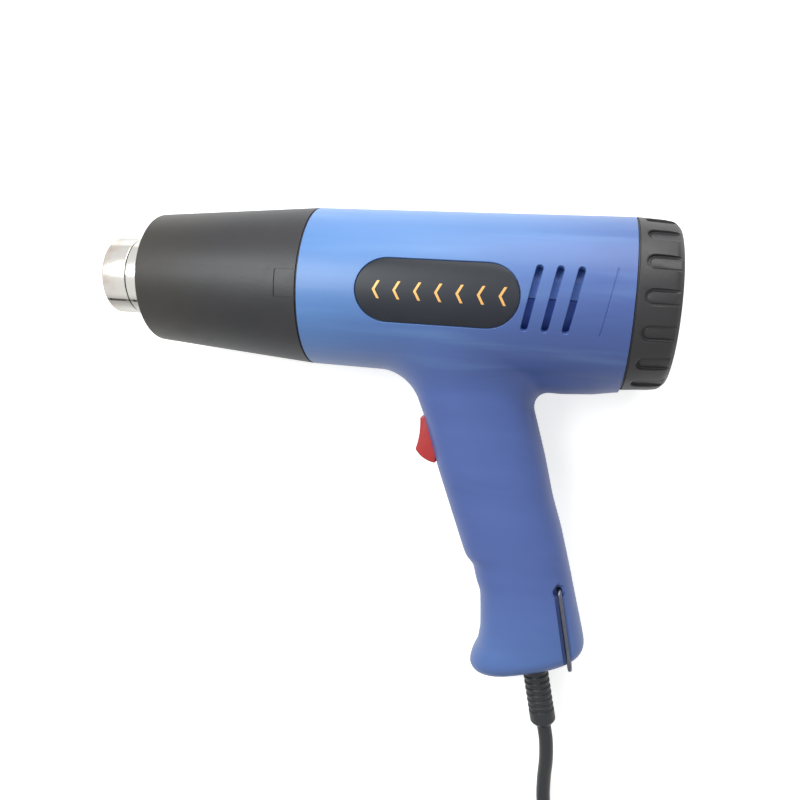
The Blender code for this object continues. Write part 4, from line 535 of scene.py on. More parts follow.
def new_finish(name, fixed):
    """A material with its constant values set; returns it with a way to wire its sockets."""
    material = bpy.data.materials.new(name)
    material.use_nodes = True
    shader = material.node_tree.nodes["Principled BSDF"]
    for key, value in fixed.items():
        shader.inputs[key].default_value = value
    here = Wire(material.node_tree).add("ShaderNodeTexCoord", {}, {}, "Object")

    def connect(**links):
        for key, wire in links.items():
            material.node_tree.links.new(wire.socket, shader.inputs[key.replace("_", " ")])

    return material, here, connect


inverse = GUN.inverted()


def in_gun(here):
    """Object coordinates turned into the gun's frame."""
    sockets = {"Vector": here, "Location": inverse.translation, "Rotation": inverse.to_euler("XYZ")}
    return here.add("ShaderNodeMapping", {"vector_type": "POINT"}, sockets)


print("one class and four helpers for finishes")

# %% [markdown]
# ## Moulded plastic
# Moulded plastic isn't one flat colour. Its pigment drifts a little, its skin has the fine
# grain of the mould, and its gloss is uneven where hands and dust have been. One function
# gives all of that, and the pieces differ in colour, gloss, grain and depth.


# %% Moulded plastics
def moulded(name, colour, roughness, grain=1400.0, depth=0.00003, drift=0.07, fixed=None):
    """Plastic of one colour that drifts a little, with the mould's grain and uneven gloss."""
    material, here, connect = new_finish(name, fixed or {})
    cloud = here.noise(22.0, 4.0, 0.6)
    smudge = here.noise(95.0, 3.0, 0.55)
    grains = here.noise(grain, 2.0, 0.6)
    tint = (cloud * 0.6 + smudge * 0.4).step(0.3, 0.7)
    connect(Base_Color=tint.mix(shaded(colour, 1 - drift), shaded(colour, 1 + drift)))
    connect(Roughness=smudge.step(0.35, 0.75) * 0.10 + grains * 0.06 + (roughness - 0.08))
    connect(Normal=(grains + smudge * 0.7).bump(depth, 0.7))
    return material


SATIN = {"Specular IOR Level": 0.5}
# The fan duct's two halves are one blue plastic. Behind the slots, the upper copy is painted light and
# the lower, darker copy is painted shade.
duct_blue = moulded("duct_blue", rgb(98, 138, 225), 0.45, fixed=SATIN)
duct_painted_shade_blue = moulded("duct_painted_shade_blue", rgb(48, 88, 186), 0.45, fixed=SATIN)
black_nylon = moulded("black_nylon", rgb(42, 41, 43), 0.46, 900.0, 0.00006, 0.10, SATIN)
inner_nylon = moulded("inner_nylon", rgb(40, 40, 42), 0.5, fixed=SATIN)
rocker_red = moulded("rocker_red", rgb(186, 52, 52), 0.34, 1800.0, 0.00002, 0.05, SATIN)
black_pvc = moulded("black_pvc", rgb(42, 43, 47), 0.42, 1100.0, 0.00004, 0.12, SATIN)
print("made", len(bpy.data.materials), "materials so far")

# %% [markdown]
# ## Shield's nylon
# The guard sits round the hot barrel, and heat has browned its front end a little. Towards
# the housing it stays a cool black. The gun's x drives the change, with a cloud to break it.

# %% Nylon of the shield
BROWNED = (0.030, 0.085)  # lengths between which the browning fades
shield_nylon, here, connect = new_finish("shield_nylon", SATIN)
x, _, _ = in_gun(here).parts()
cloud = here.noise(30.0, 4.0, 0.6)
grains = here.noise(900.0, 2.0, 0.6)
cool = (x + cloud * 0.02).step(*BROWNED)
worn = here.noise(70.0, 5.0, 0.65).step(0.55, 0.8)
browned = cloud.step(0.3, 0.7).mix(rgb(45, 42, 38), rgb(53, 49, 45))
black = cloud.step(0.3, 0.7).mix(rgb(37, 37, 40), rgb(45, 44, 48))
connect(Base_Color=cool.mix(browned, black))
connect(Roughness=cloud * 0.10 + grains * 0.06 + worn * 0.08 + 0.38)
connect(Normal=(grains + cloud * 0.5).bump(0.00006, 0.7))
print("the front end is browned as far as", BROWNED[1])

# %% [markdown]
# ## Blue housing
# The housing is glossy blue plastic. Long flow marks run along the barrel where the melt
# spread from its gate, and they break the reflection into faint streaks. A noise stretched
# along the barrel gives them as bump, so they move with the light, and a second one paints
# a few pale streaks of reflection into the colour. Light and shade are painted into the
# colour too: the blue is paler and greener at the front and top, deeper down the handle,
# and a little paler again at the butt.

# %% Blue of the housing
GLOSSY = {"Coat Roughness": 0.25, "Coat IOR": 1.4, "Specular IOR Level": 0.42}
PAINTED_LIGHT_SLANT = 0.55  # the painted light ends on a slant that rises to the rear
PAINTED_LIGHT_FADE = (-0.075, 0.005)  # heights between which it fades in
BUTT_PAINTED_LIGHT_FADE = (-0.160, -0.110)  # below these the painted light comes back a little, at the butt
BARREL_FADE = (-0.040, -0.020)  # the flow marks and the painted reflection streaks begin above the handle
blue_abs, here, connect = new_finish("blue_abs", GLOSSY)
gun_here = in_gun(here)
x, y, _ = gun_here.parts()
# Painted light: this share makes the blue paler at the front and top, where the lamps fall, and a little
# paler at the butt.
painted_light_share = (y - (x - 0.10) * PAINTED_LIGHT_SLANT).step(*PAINTED_LIGHT_FADE)
painted_light_share = painted_light_share.most((1 - y.step(*BUTT_PAINTED_LIGHT_FADE)) * 0.35)
cloud = here.noise(14.0, 3.0, 0.5)
flow = gun_here.stretched(5.0, 130.0, 130.0).noise(1.0, 3.0, 0.55)
grains = here.noise(1500.0, 2.0, 0.6)
scuff = here.noise(60.0, 5.0, 0.65).step(0.58, 0.78)
shade = (cloud * 0.7 + flow * 0.3).step(0.3, 0.7)
# Lit and shaded copies of one blue: the deeper one is painted shade, the paler one painted light.
deep = shade.mix(rgb(74, 96, 158), rgb(83, 105, 170))
pale = shade.mix(rgb(87, 128, 186), rgb(97, 140, 198))
on_barrel = y.step(*BARREL_FADE)
# Painted reflection: a few pale streaks of the lamps are mixed into the colour along the barrel.
painted_reflection_streaks = gun_here.stretched(14.0, 150.0, 150.0).noise(1.0, 2.0, 0.5).step(0.50, 0.80)
connect(Base_Color=(painted_reflection_streaks * on_barrel * 0.22).mix(painted_light_share.mix(deep, pale), rgb(128, 170, 218)))
connect(Roughness=flow * 0.08 + scuff * 0.10 + grains * 0.03 + 0.36)
connect(Coat_Weight=0.22 - scuff * 0.15)
connect(Normal=(flow * on_barrel + grains * 0.12).bump(0.00012, 0.6))
print("flow marks run along the barrel")

# %% [markdown]
# ## Metals
# The nozzle is polished steel sheet. Rolling leaves fine rings round it, so the noise is
# stretched round the barrel: it varies only along x. Heat has tinted the mouth a little.
# Soot sits along the joint where the sheet's ends meet, and a wider grey band round the
# nozzle's lower side is a painted reflection. Zinc plate, brass, copper and the heater's
# wire are made with one plainer function.

# %% Metals
RING_SCALE = 2600.0
NOZZLE_RADIUS = 0.017
JOINT_ANGLE = math.radians(-41)  # where the sheet's two ends meet, under the nozzle's side
JOINT_HEIGHT = NOZZLE_RADIUS * math.sin(JOINT_ANGLE)
JOINT_SOOT = (0.0003, 0.0009)  # distances from the joint over which its soot fades
REFLECTION_BAND_RISE = (-0.0168, -0.0128)  # heights between which the painted reflection's grey band grows
REFLECTION_BAND_FADE = (-0.0125, -0.0080)  # and fades again
HEATED = (0.001, 0.009)  # lengths over which the mouth's tint fades
EDGE_TINT = {"Metallic": 1.0, "Specular Tint": (0.62, 0.62, 0.63, 1)}
bright_steel, here, connect = new_finish("bright_steel", EDGE_TINT)
x, y, _ = in_gun(here).parts()
rings = x.add("ShaderNodeTexNoise", {"noise_dimensions": "1D"}, {"W": x * RING_SCALE}, "Fac")
blotch = here.noise(160.0, 4.0, 0.6)
heat = (1 - x.step(*HEATED)) * blotch.step(0.3, 0.8)
# Painted reflection: a grey band round the nozzle's lower side, with the joint's real soot laid over it.
soot_and_painted_reflection = (1 - y.step(*REFLECTION_BAND_FADE)) * y.step(*REFLECTION_BAND_RISE) * 0.7
soot_and_painted_reflection = soot_and_painted_reflection.most(1 - (y - JOINT_HEIGHT).size().step(*JOINT_SOOT))
clean = heat.mix(rgb(238, 235, 229), rgb(222, 204, 190))
connect(Base_Color=soot_and_painted_reflection.mix(clean, rgb(132, 129, 125)))
connect(Roughness=rings * 0.08 + blotch * 0.10 + 0.09)
connect(Normal=rings.bump(0.00001, 0.5))


def plated(name, colour, roughness, scale=220.0):
    """Bare or plated metal of one colour, with blotches and a fine grain."""
    material, here, connect = new_finish(name, {"Metallic": 1.0})
    blotch = here.noise(scale, 4.0, 0.6)
    fine = here.noise(scale * 9, 2.0, 0.5)
    connect(Base_Color=blotch.step(0.25, 0.75).mix(shaded(colour, 0.82), shaded(colour, 1.05)))
    connect(Roughness=blotch * 0.22 + fine * 0.05 + (roughness - 0.12))
    connect(Normal=fine.bump(0.00002, 0.5))
    return material


zinc_plate = plated("zinc_plate", rgb(176, 176, 178), 0.32)
bail_steel = plated("bail_steel", rgb(108, 110, 122), 0.30)
brass = plated("brass", rgb(206, 172, 96), 0.28)
copper = plated("copper", rgb(190, 112, 76), 0.35)
heater_wire = plated("heater_wire", rgb(108, 100, 96), 0.45, 600.0)
print("polished steel, zinc, brass, copper and heater wire")

# %% [markdown]
# ## What the inside is made of
# Mica is layered and speckled, glass wool is a tangle of pale fibres, the board is green
# laminate with copper tracks, and the windings of the armature are rows of enamelled wire.
# Little of this shows, but it does show through the mouth, the slots and the intake.

# %% Inner finishes
mica, here, connect = new_finish("mica", {"Roughness": 0.45})
flakes = here.add("ShaderNodeTexVoronoi", {}, {"Vector": here, "Scale": 700.0}, "Color")
speck = flakes.add("ShaderNodeSeparateColor", {}, {0: flakes}, 0)
connect(Base_Color=speck.step(0.1, 0.9).mix(rgb(176, 160, 128), rgb(206, 194, 166)))
connect(Normal=speck.bump(0.00003, 0.6))

glass_wool, here, connect = new_finish("glass_wool", {"Roughness": 0.95})
fibres = here.stretched(300.0, 2600.0, 300.0).noise(1.0, 5.0, 0.7)
tangle = here.stretched(2400.0, 300.0, 900.0).noise(1.0, 5.0, 0.7)
strand = (fibres + tangle).step(0.8, 1.2)
connect(Base_Color=strand.mix(rgb(190, 182, 160), rgb(232, 228, 214)), Normal=strand.bump(0.0003, 0.9))

circuit_board, here, connect = new_finish("circuit_board", {"Roughness": 0.42})
_, y, _ = in_gun(here).parts()
track = (y * 900.0).sine().step(0.75, 0.9)
connect(Base_Color=track.mix(rgb(34, 92, 58), rgb(70, 140, 84)), Normal=track.bump(0.00004, 0.8))

windings, here, connect = new_finish("windings", {"Metallic": 1.0})
x, _, _ = in_gun(here).parts()
wire = (x * 9000.0).sine().step(-0.8, 0.9)
connect(Base_Color=wire.mix(rgb(112, 58, 34), rgb(192, 108, 66)), Roughness=0.5 - wire * 0.2)
connect(Normal=wire.bump(0.0002, 0.8))

carbon = moulded("carbon", rgb(36, 36, 38), 0.6, 2600.0, 0.00005, 0.2)
lead_red = moulded("lead_red", rgb(176, 34, 34), 0.4)
lead_white = moulded("lead_white", rgb(222, 220, 212), 0.42)
print("made", len(bpy.data.materials), "materials so far")

# %% [markdown]
# ## Housing
# The housing is the hardest shape: a long drum and a leaning, oval handle that grow into
# each other with wide fillets. Bevelling a Boolean's edge fails on such a crossing, and
# sculpting isn't repeatable. A field is both simple and exact. It gives the distance to each
# form, and where both are near, it rounds the valley between them. A rough union is
# remeshed into even quads, and each corner is then slid along the field onto its zero.

# %% Profiles of the handle
GRIP_DEPTH = 0.045
GRIP_THICKNESS = 0.0344
SECTION_POWER = 2.4
BUTT_ROUNDING = 0.0062
STATION_STEP = 0.0005
STATIONS = np.arange(-0.06, 0.16, STATION_STEP)
BLUR_REACH = 12  # steps that the smoothing looks to each side


def profile(rows, softness):
    """A table of (station, step) as a smooth curve."""
    values = np.interp(STATIONS, [row[0] for row in rows], [row[1] for row in rows])
    spread = np.arange(-BLUR_REACH, BLUR_REACH + 1) * STATION_STEP
    weights = np.exp(-0.5 * (spread / softness) ** 2)
    padded = np.pad(values, BLUR_REACH, mode="edge")
    return np.convolve(padded, weights / weights.sum(), mode="valid")


front_steps = profile(
    (
        (-0.0500, 0.0018), (0.0005, 0.0016), (0.0050, 0.0013), (0.0116, 0.0007), (0.0345, 0.0004),
        (0.0569, -0.0009), (0.0718, -0.0018), (0.0756, -0.0022), (0.0798, -0.0044),
        (0.0873, -0.0041), (0.0915, -0.0045), (0.0942, -0.0042), (0.1014, -0.0025),
        (0.1086, -0.0007), (0.1158, 0.0025), (0.1191, 0.0055), (0.1225, 0.0076),
        (0.1263, 0.0081), (0.1288, 0.0077), (0.1500, 0.0070),
    ),
    softness=0.0009,
)
rear_steps = profile(
    (
        (-0.0500, 0.0010), (0.0266, 0.0008), (0.0407, 0.0007), (0.0585, -0.0001),
        (0.0729, 0.0003), (0.0910, -0.0002), (0.1049, -0.0008), (0.1194, -0.0013),
        (0.1231, -0.0016), (0.1288, -0.0018), (0.1500, -0.0020),
    ),
    softness=0.0014,
)
side_steps = profile(
    (
        (-0.0300, 0.0030), (0.0, 0.0018), (0.0200, 0.0006), (0.0450, 0.0), (0.0800, -0.0004),
        (0.0988, -0.0002), (0.1108, 0.0006), (0.1208, 0.0012), (0.1500, 0.0012),
    ),
    softness=0.0025,
)


def grip_at(station):
    """Front, rear and half width of the handle's section at a station."""
    front = -GRIP_DEPTH / 2 - np.interp(station, STATIONS, front_steps)
    rear = GRIP_DEPTH / 2 + np.interp(station, STATIONS, rear_steps)
    half = GRIP_THICKNESS / 2 + np.interp(station, STATIONS, side_steps)
    return front, rear, half


print("front, rear and half width of the grip:", np.round(grip_at(0.05), 4))

# %% The housing's field
SPINE_SPREAD = math.radians(34)
SPINE_STOPS = (0.165, 0.188, 0.2046, 0.2166, CAP_X)
SPINE_HEIGHTS = (0.0, 0.0040, 0.0040, 0.0030, 0.0012)
FILLETS = ((-0.030, 0.0120), (0.0, 0.0105), (0.030, 0.0080))  # offset behind the axis, radius
ROOT_RISE = 0.030  # how far the handle's form goes up into the barrel
SPARE = 0.006  # the skin goes on this far past both ends, to be trimmed


def spine_height(x):
    """Height of the low ridge that carries the handle's root on to the cap."""
    return np.interp(x, SPINE_STOPS, SPINE_HEIGHTS)


def barrel_field(p):
    """Distance to the barrel's cone and its ridge."""
    share = np.minimum(np.abs(np.arctan2(p[:, 2], -p[:, 1])) / SPINE_SPREAD, 1)
    radius = barrel_radius(p[:, 0]) + spine_height(p[:, 0]) * (1 - share**2) ** 2
    return np.hypot(p[:, 1], p[:, 2]) - radius


def handle_field(p):
    """Distance to the handle, and how far behind its axis each point lies."""
    station = (p - np.array(ROOT)) @ np.array(DOWN)
    offset = (p - np.array(ROOT)) @ np.array(BACK)
    front, rear, half = grip_at(station)
    off_middle = offset - (front + rear) / 2
    depth = np.abs(2 * off_middle / (rear - front)) ** SECTION_POWER
    width = np.abs(p[:, 2] / half) ** SECTION_POWER
    share = np.maximum((depth + width) ** (1 / SECTION_POWER), 1e-6)
    sides = np.hypot(off_middle, p[:, 2]) * (1 - 1 / share)
    beyond = station - HANDLE_LENGTH
    over = np.maximum(sides + BUTT_ROUNDING, 0), np.maximum(beyond + BUTT_ROUNDING, 0)
    body = np.minimum(np.maximum(sides, beyond) + BUTT_ROUNDING, 0) + np.hypot(*over) - BUTT_ROUNDING
    return np.maximum(body, -ROOT_RISE - station), offset


def housing_field(p):
    """About the distance to the housing's skin, negative inside."""
    barrel = barrel_field(p)
    handle, offset = handle_field(p)
    valley = np.interp(offset, [row[0] for row in FILLETS], [row[1] for row in FILLETS])
    bend = np.hypot(np.maximum(valley - barrel, 0), np.maximum(valley - handle, 0))
    field = np.maximum(valley, np.minimum(barrel, handle)) - bend
    ends = np.maximum(HOUSING_X - SPARE - p[:, 0], p[:, 0] - CAP_X - SPARE)
    return np.maximum(field, ends)


def field_slope(p, reach=0.00004):
    """Unit direction in which the field grows, and how fast it grows."""
    slope = np.empty_like(p)
    for k in range(3):
        shift = np.zeros(3)
        shift[k] = reach
        slope[:, k] = (housing_field(p + shift) - housing_field(p - shift)) / (2 * reach)
    speed = np.linalg.norm(slope, axis=1, keepdims=True)
    return slope / np.maximum(speed, 1e-9), np.maximum(speed[:, 0], 0.2)


probe = np.array([[0.12, 0.05, 0.0], [0.19, -0.10, 0.0]])
print("field at two spots, in mm:", np.round(housing_field(probe) * 1000, 2))

# %% [markdown]
# The rough union needs only closed forms that overlap. The Remesh modifier makes one even
# skin of them. Sliding alone would stretch the quads in the fillets, so each round first
# relaxes the corners towards their neighbours, and then slides them back onto the field.

# %% The rough union
VOXEL = 0.0015
CORNER_POWER = 0.83  # makes the rough handle's oval about as square as the field's
ROUGH_ENDS = (0.002 - ROOT_RISE, HANDLE_LENGTH - 0.0005)  # stations of the rough handle


def bent(value):
    """A cosine or sine, pushed outwards to square an oval."""
    return math.copysign(abs(value) ** CORNER_POWER, value)


barrel_rings = []
for x in np.linspace(HOUSING_X - SPARE, CAP_X + SPARE, 40):
    barrel_rings.append([around(x, barrel_radius(x), TURN * k / 64) for k in range(64)])
handle_rings = []
for station in np.linspace(*ROUGH_ENDS, 60):
    front, rear, half = grip_at(station)
    inset = max(station - (HANDLE_LENGTH - BUTT_ROUNDING), 0) * 0.5
    ring = []
    for k in range(48):
        angle = TURN * (k + 0.5) / 48
        offset = (front + rear) / 2 + bent(math.cos(angle)) * ((rear - front) / 2 - inset)
        ring.append(in_handle(station, offset, bent(math.sin(angle)) * (half - inset)))
    handle_rings.append(ring)
skin = merged([loft("rough_barrel", barrel_rings), loft("rough_handle", handle_rings)])
remesh = skin.modifiers.new("even", "REMESH")
remesh.mode = "VOXEL"
remesh.voxel_size = VOXEL
settle(skin)
print("the rough skin has", len(skin.data.vertices), "corners")

# %% The skin
SKIN_ROUNDS = 14
SLIDES = 2  # times that each round slides the corners onto the field


def numbers(items, key, width=1, kind=float):
    """One property of all of a mesh's corners, edges or faces, as an array."""
    values = np.empty(len(items) * width, kind)
    items.foreach_get(key, values)
    return values.reshape(-1, width) if width > 1 else values


spots = numbers(skin.data.vertices, "co", 3)
pairs = numbers(skin.data.edges, "vertices", 2, int)
degree = np.bincount(pairs.ravel(), minlength=len(spots))[:, None]
for _ in range(SKIN_ROUNDS):
    total = np.zeros_like(spots)
    np.add.at(total, pairs[:, 0], spots[pairs[:, 1]])
    np.add.at(total, pairs[:, 1], spots[pairs[:, 0]])
    outward, _ = field_slope(spots)
    pull = total / degree - spots
    pull -= outward * np.sum(pull * outward, axis=1, keepdims=True)
    spots = spots + 0.5 * pull
    for _ in range(SLIDES):
        outward, speed = field_slope(spots)
        slide = np.clip(housing_field(spots) / speed, -VOXEL, VOXEL)
        spots = spots - outward * slide[:, None]
outward, _ = field_slope(spots)
skin_faces = [tuple(face.vertices) for face in skin.data.polygons]
bpy.data.objects.remove(skin)
worst = float(np.abs(housing_field(spots)).max())
print(len(spots), "corners, off the field by at most", round(worst * 1e6), "um")

# %% [markdown]
# The wall is the skin and its copy 2.4 mm further in. Everything else is carved: the side
# slots and the plates' beds with softly rounded mouths, the rocker's opening, the bail's
# pockets, and the deep screw seats on the right.

# %% Tools that carve the housing
WALL = 0.0024
SLOT_ROUND = 0.0004  # radius of the slots' mouths
PROUD = 0.001  # a cutter stands this far out of what it cuts


def mouth(radius, deep):
    """Levels of a cutter, as (depth, growth), whose mouth is rounded."""
    levels = [(-PROUD, radius)]
    for k in range(5):
        depth = radius * (1 - math.cos(math.pi / 8 * k))
        levels.append((depth, radius - math.sqrt(max(radius**2 - (radius - depth) ** 2, 0))))
    return levels + [(deep, 0.0)]


CLOSING = (0.8, 0.6, 0.4, 0.2, 0.0)  # an end is closed in steps, so that it stays bent


def lozenge(name, x, size, levels, hand, lean=0.0, steps=10):
    """A round-ended form that follows the barrel, by its levels of (depth, growth)."""
    first, last = levels[0], levels[-1]
    layers = [(*first, share) for share in reversed(CLOSING)]
    layers += [(depth, grow, 1) for depth, grow in levels]
    layers += [(*last, share) for share in CLOSING]
    rings = []
    for depth, grow, share in layers:
        ring = []
        for u, v in stadium(*size, grow, steps):
            v *= share
            a, b = u * math.cos(lean) - v * math.sin(lean), u * math.sin(lean) + v * math.cos(lean)
            radius = barrel_radius(x + a)
            px, py, pz = around(x + a, radius - depth, b / radius)
            ring.append((px, py, hand * pz))
        rings.append(ring)
    return loft(name, rings, caps=False)


SLOT_LEAN = math.radians(80)
SLOT_SIZE = (0.0262, 0.0026)
SLOT_X = CAP_X - 0.0370
SLOT_PITCH = 0.0077
SLOT_DEPTH = 0.006
SHUT_LINE_SIZE = (0.0265, 0.0004)
SHUT_LINE_X = CAP_X - 0.0088
SHUT_LINE_DEPTH = 0.0003
LABEL_X = HOUSING_X + 0.0562
LABEL_LENGTH = 0.064
LABEL_HEIGHT = 0.0254
BED_DEPTH = 0.0009
BED_ROUND = 0.00025


def barrel_tools(hand):
    """Three air slots, the mould's shut line behind them and the label plate's bed."""
    tools = []
    for k in range(3):
        levels = mouth(SLOT_ROUND, SLOT_DEPTH)
        tools.append(lozenge("slot", SLOT_X + k * SLOT_PITCH, SLOT_SIZE, levels, hand, SLOT_LEAN))
    levels = mouth(SHUT_LINE_DEPTH, SHUT_LINE_DEPTH)
    tools.append(lozenge("shut_line", SHUT_LINE_X, SHUT_LINE_SIZE, levels, hand, SLOT_LEAN))
    bed_size = (LABEL_LENGTH + 2 * GAP, LABEL_HEIGHT + 2 * GAP)
    tools.append(lozenge("bed", LABEL_X, bed_size, mouth(BED_ROUND, BED_DEPTH), hand, steps=24))
    return tools


print("a slot's mouth, in mm:", np.round(np.array(mouth(SLOT_ROUND, SLOT_DEPTH)) * 1000, 2).tolist())

# %% Switch, bail and screw places
BAIL_WIRE = 0.0009
BAIL_SIDE = 0.0135
BAIL_LEAN = math.radians(-5.6)  # of the folded bail against the handle's axis
POCKET_FLOOR = BAIL_SIDE - BAIL_WIRE - GAP
pin_spot = inverse @ Vector(joints["rocker_tilt"]["pos_m"])
bail_spot = inverse @ Vector(joints["bail_swing"]["pos_m"])
bail_rise = HANDLE_LENGTH - (bail_spot - ROOT).dot(DOWN)  # over the butt's end
bail_offset = (bail_spot - ROOT).dot(BACK)  # behind the handle's axis
HANDLE_SCREWS = ((0.0445, 0.0165), (0.0860, -0.0105), (0.1170, -0.0165))  # station, offset
SCREW_SPOTS = [Vector((HOUSING_X + 0.0145, y, 0)) for y in (0.0262, -0.0262)]
SCREW_SPOTS += [in_handle(*spot) for spot in HANDLE_SCREWS]
print("pin at", [round(v, 4) for v in pin_spot], "bail at", [round(v, 4) for v in bail_spot])

# %% Tools for the handle
ROCKER_RADIUS = 0.0115
ROCKER_WIDTH = 0.0112
RELIEF_HOLE = 0.0052
RELIEF_HOLE_REACH = 0.01
POCKET_OVER = 0.0035  # the pocket starts this far over the bail's pivot
POCKET_FRONT = 0.0022  # and this far in front of it
POCKET_CORNER = 0.0030
POCKET_BEYOND = 0.006  # past the butt's end
BED_OVER = POCKET_OVER + 0.0025  # the material round the pocket starts this far over the pivot
BED_FRONTS = (0.0048, 0.0075)  # and this far in front of it, at its top and its foot
BED_THICKNESS = 0.0034
BED_OUTSIDE = 0.030
PIT_RADIUS = 0.0027
PIT_DEPTH = 0.0016
SCREW_HEAD_RADIUS = 0.0027
SCREW_SEAT = 0.0020
HEAD_HOLE = SCREW_HEAD_RADIUS + GAP
SHANK_HOLE = 0.0017
SEAT_REACH = 0.045  # from the joint of the halves to beyond the right side


def handle_tools(hand):
    """Opening of the rocker, way out of the cord, and the bail's pocket, hole and pit."""
    across = Vector((0, 0, ROCKER_WIDTH / 2 + GAP))
    along_relief = relief_way * RELIEF_HOLE_REACH
    mouths = [
        rod("rocker_mouth", pin_spot - across, pin_spot + across, ROCKER_RADIUS + GAP, 72),
        rod("relief_hole", relief_start - along_relief, relief_start + along_relief, RELIEF_HOLE),
    ]
    fall = math.tan(BAIL_LEAN)
    edge = bail_offset - POCKET_FRONT
    start, stop = HANDLE_LENGTH - bail_rise - POCKET_OVER, HANDLE_LENGTH + POCKET_BEYOND
    back = GRIP_DEPTH / 2 + 0.01
    outline = rounded(
        [
            (start, edge - fall * POCKET_OVER, POCKET_CORNER),
            (stop, edge + fall * (bail_rise + POCKET_BEYOND), 0), (stop, back, 0), (start, back, 0),
        ],
        8,
    )
    rings = [[in_handle(s, o, hand * z) for s, o in outline] for z in (POCKET_FLOOR, GRIP_THICKNESS)]
    floor = Vector((0, 0, hand * (POCKET_FLOOR - PIT_DEPTH)))
    reach = Vector((0, 0, hand * GRIP_THICKNESS / 2))
    pit = rod("bail_pit", bail_spot + floor, bail_spot + reach, PIT_RADIUS)
    hole = rod("bail_hole", bail_spot, bail_spot + reach, BAIL_WIRE + GAP)
    return [mouths, [loft("pocket", rings)], [pit], [hole]]


def pocket_bed(hand):
    """Material under the bail's pocket, so that it has a floor and doesn't open the hollow."""
    start = HANDLE_LENGTH - bail_rise - BED_OVER
    outline = [
        (start, bail_offset - BED_FRONTS[0]), (HANDLE_LENGTH, bail_offset - BED_FRONTS[1]),
        (HANDLE_LENGTH, GRIP_DEPTH), (start, GRIP_DEPTH),
    ]
    levels = (hand * (POCKET_FLOOR - BED_THICKNESS), hand * BED_OUTSIDE)
    return loft("pocket_bed", [[in_handle(s, o, z) for s, o in outline] for z in levels])


def screw_seats():
    """Stepped holes from the right: a shank hole that widens for the head."""
    tools = []
    outline = [
        (-PROUD, 0), (-PROUD, SHANK_HOLE), (SCREW_SEAT, SHANK_HOLE), (SCREW_SEAT, HEAD_HOLE),
        (SEAT_REACH, HEAD_HOLE), (SEAT_REACH, 0),
    ]
    for spot in SCREW_SPOTS:
        axis = Matrix.Translation(spot) @ Matrix.Rotation(math.pi / 2, 4, "Y")
        tools.append(turned("seat", outline, 32, axis))
    return tools


print("the bail's pivot is", round(bail_rise * 1000, 1), "mm over the butt's end")

# %% Both halves
BOSS_RADIUS = 0.0036
BOSS_REACH = 0.04
ROOM_HEIGHTS = (-0.2, 0.1)
ROOM_SIDE = 0.06
BOSS_ROOM = (0.08, 0.25)  # lengths that hold all the bosses


def half_room(start, end, hand):
    """A box on one side of the joint of the halves, between two lengths."""
    low, high = ROOM_HEIGHTS
    corners = ((start, low), (end, low), (end, high), (start, high))
    levels = sorted((hand * GAP / 2, hand * ROOM_SIDE))
    return loft("half_room", [[(x, y, z) for x, y in corners] for z in levels])


def half_housing(name, hand):
    """One half of the wall, with its bosses, carved and trimmed."""
    count = len(spots)
    inner = [tuple(count + i for i in reversed(face)) for face in skin_faces]
    piece = raw_piece(name, np.concatenate((spots, spots - outward * WALL)), skin_faces + inner)
    carve(piece, half_room(HOUSING_X, CAP_X, hand), "INTERSECT")
    reach = Vector((0, 0, hand * BOSS_REACH))
    bosses = [rod("boss", spot, spot + reach, BOSS_RADIUS) for spot in SCREW_SPOTS]
    bosses = merged([*bosses, pocket_bed(hand)])
    carve(bosses, raw_piece("middle", spots - outward * WALL / 2, skin_faces), "INTERSECT")
    carve(bosses, half_room(*BOSS_ROOM, hand), "INTERSECT")
    carve(piece, bosses, "UNION")
    for group in [barrel_tools(hand), *handle_tools(hand)]:
        carve(piece, merged(group))
    if hand < 0:
        carve(piece, merged(screw_seats()))
    return piece


SHARP_ANGLE = math.radians(28)
SKIN_NEAR = 0.00004  # a corner this close to the field's zero lies on the skin
FACING = 0.93  # cosine between a face and the field, over which the face is skin


def field_normals(piece):
    """Let the skin's own field give its shading, so that no facet shows."""
    mesh = piece.data
    mesh.shade_smooth()
    mesh.set_sharp_from_angle(angle=SHARP_ANGLE)
    places = numbers(mesh.vertices, "co", 3)
    slope, _ = field_slope(places)
    on_skin = np.abs(housing_field(places)) < SKIN_NEAR
    corner_vertex = numbers(mesh.loops, "vertex_index", kind=int)
    sizes = numbers(mesh.polygons, "loop_total", kind=int)
    corner_face = np.repeat(np.arange(len(sizes)), sizes)
    face_normal = numbers(mesh.polygons, "normal", 3)[corner_face]
    given = numbers(mesh.corner_normals, "vector", 3)
    field = slope[corner_vertex]
    smooth = on_skin[corner_vertex] & (np.sum(field * face_normal, axis=1) > FACING)
    given[smooth] = field[smooth]
    turn = np.array(GUN.to_3x3())
    mesh.transform(GUN)
    mesh.normals_split_custom_set((given @ turn.T).tolist())
    print(piece.name, "has", len(mesh.polygons), "faces,", int(smooth.sum()), "corners on the field")


for name, hand in (("housing_left_skin", 1), ("housing_right_skin", -1)):
    half = half_housing(name, hand)
    half.data.materials.clear()
    half.data.materials.append(blue_abs)
    field_normals(half)
    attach(half, "gun")
    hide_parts(name.replace("_skin", ""))

# %% [markdown]
# ## Front shield
# The shield is a turned, tapered guard of glass-filled nylon. Its one visible mark is a
# latch tab at the rear edge, outlined by a fine groove, which is carved with three thin
# bars that follow the cone. A small step at the rear edge draws a dark line at the seam.

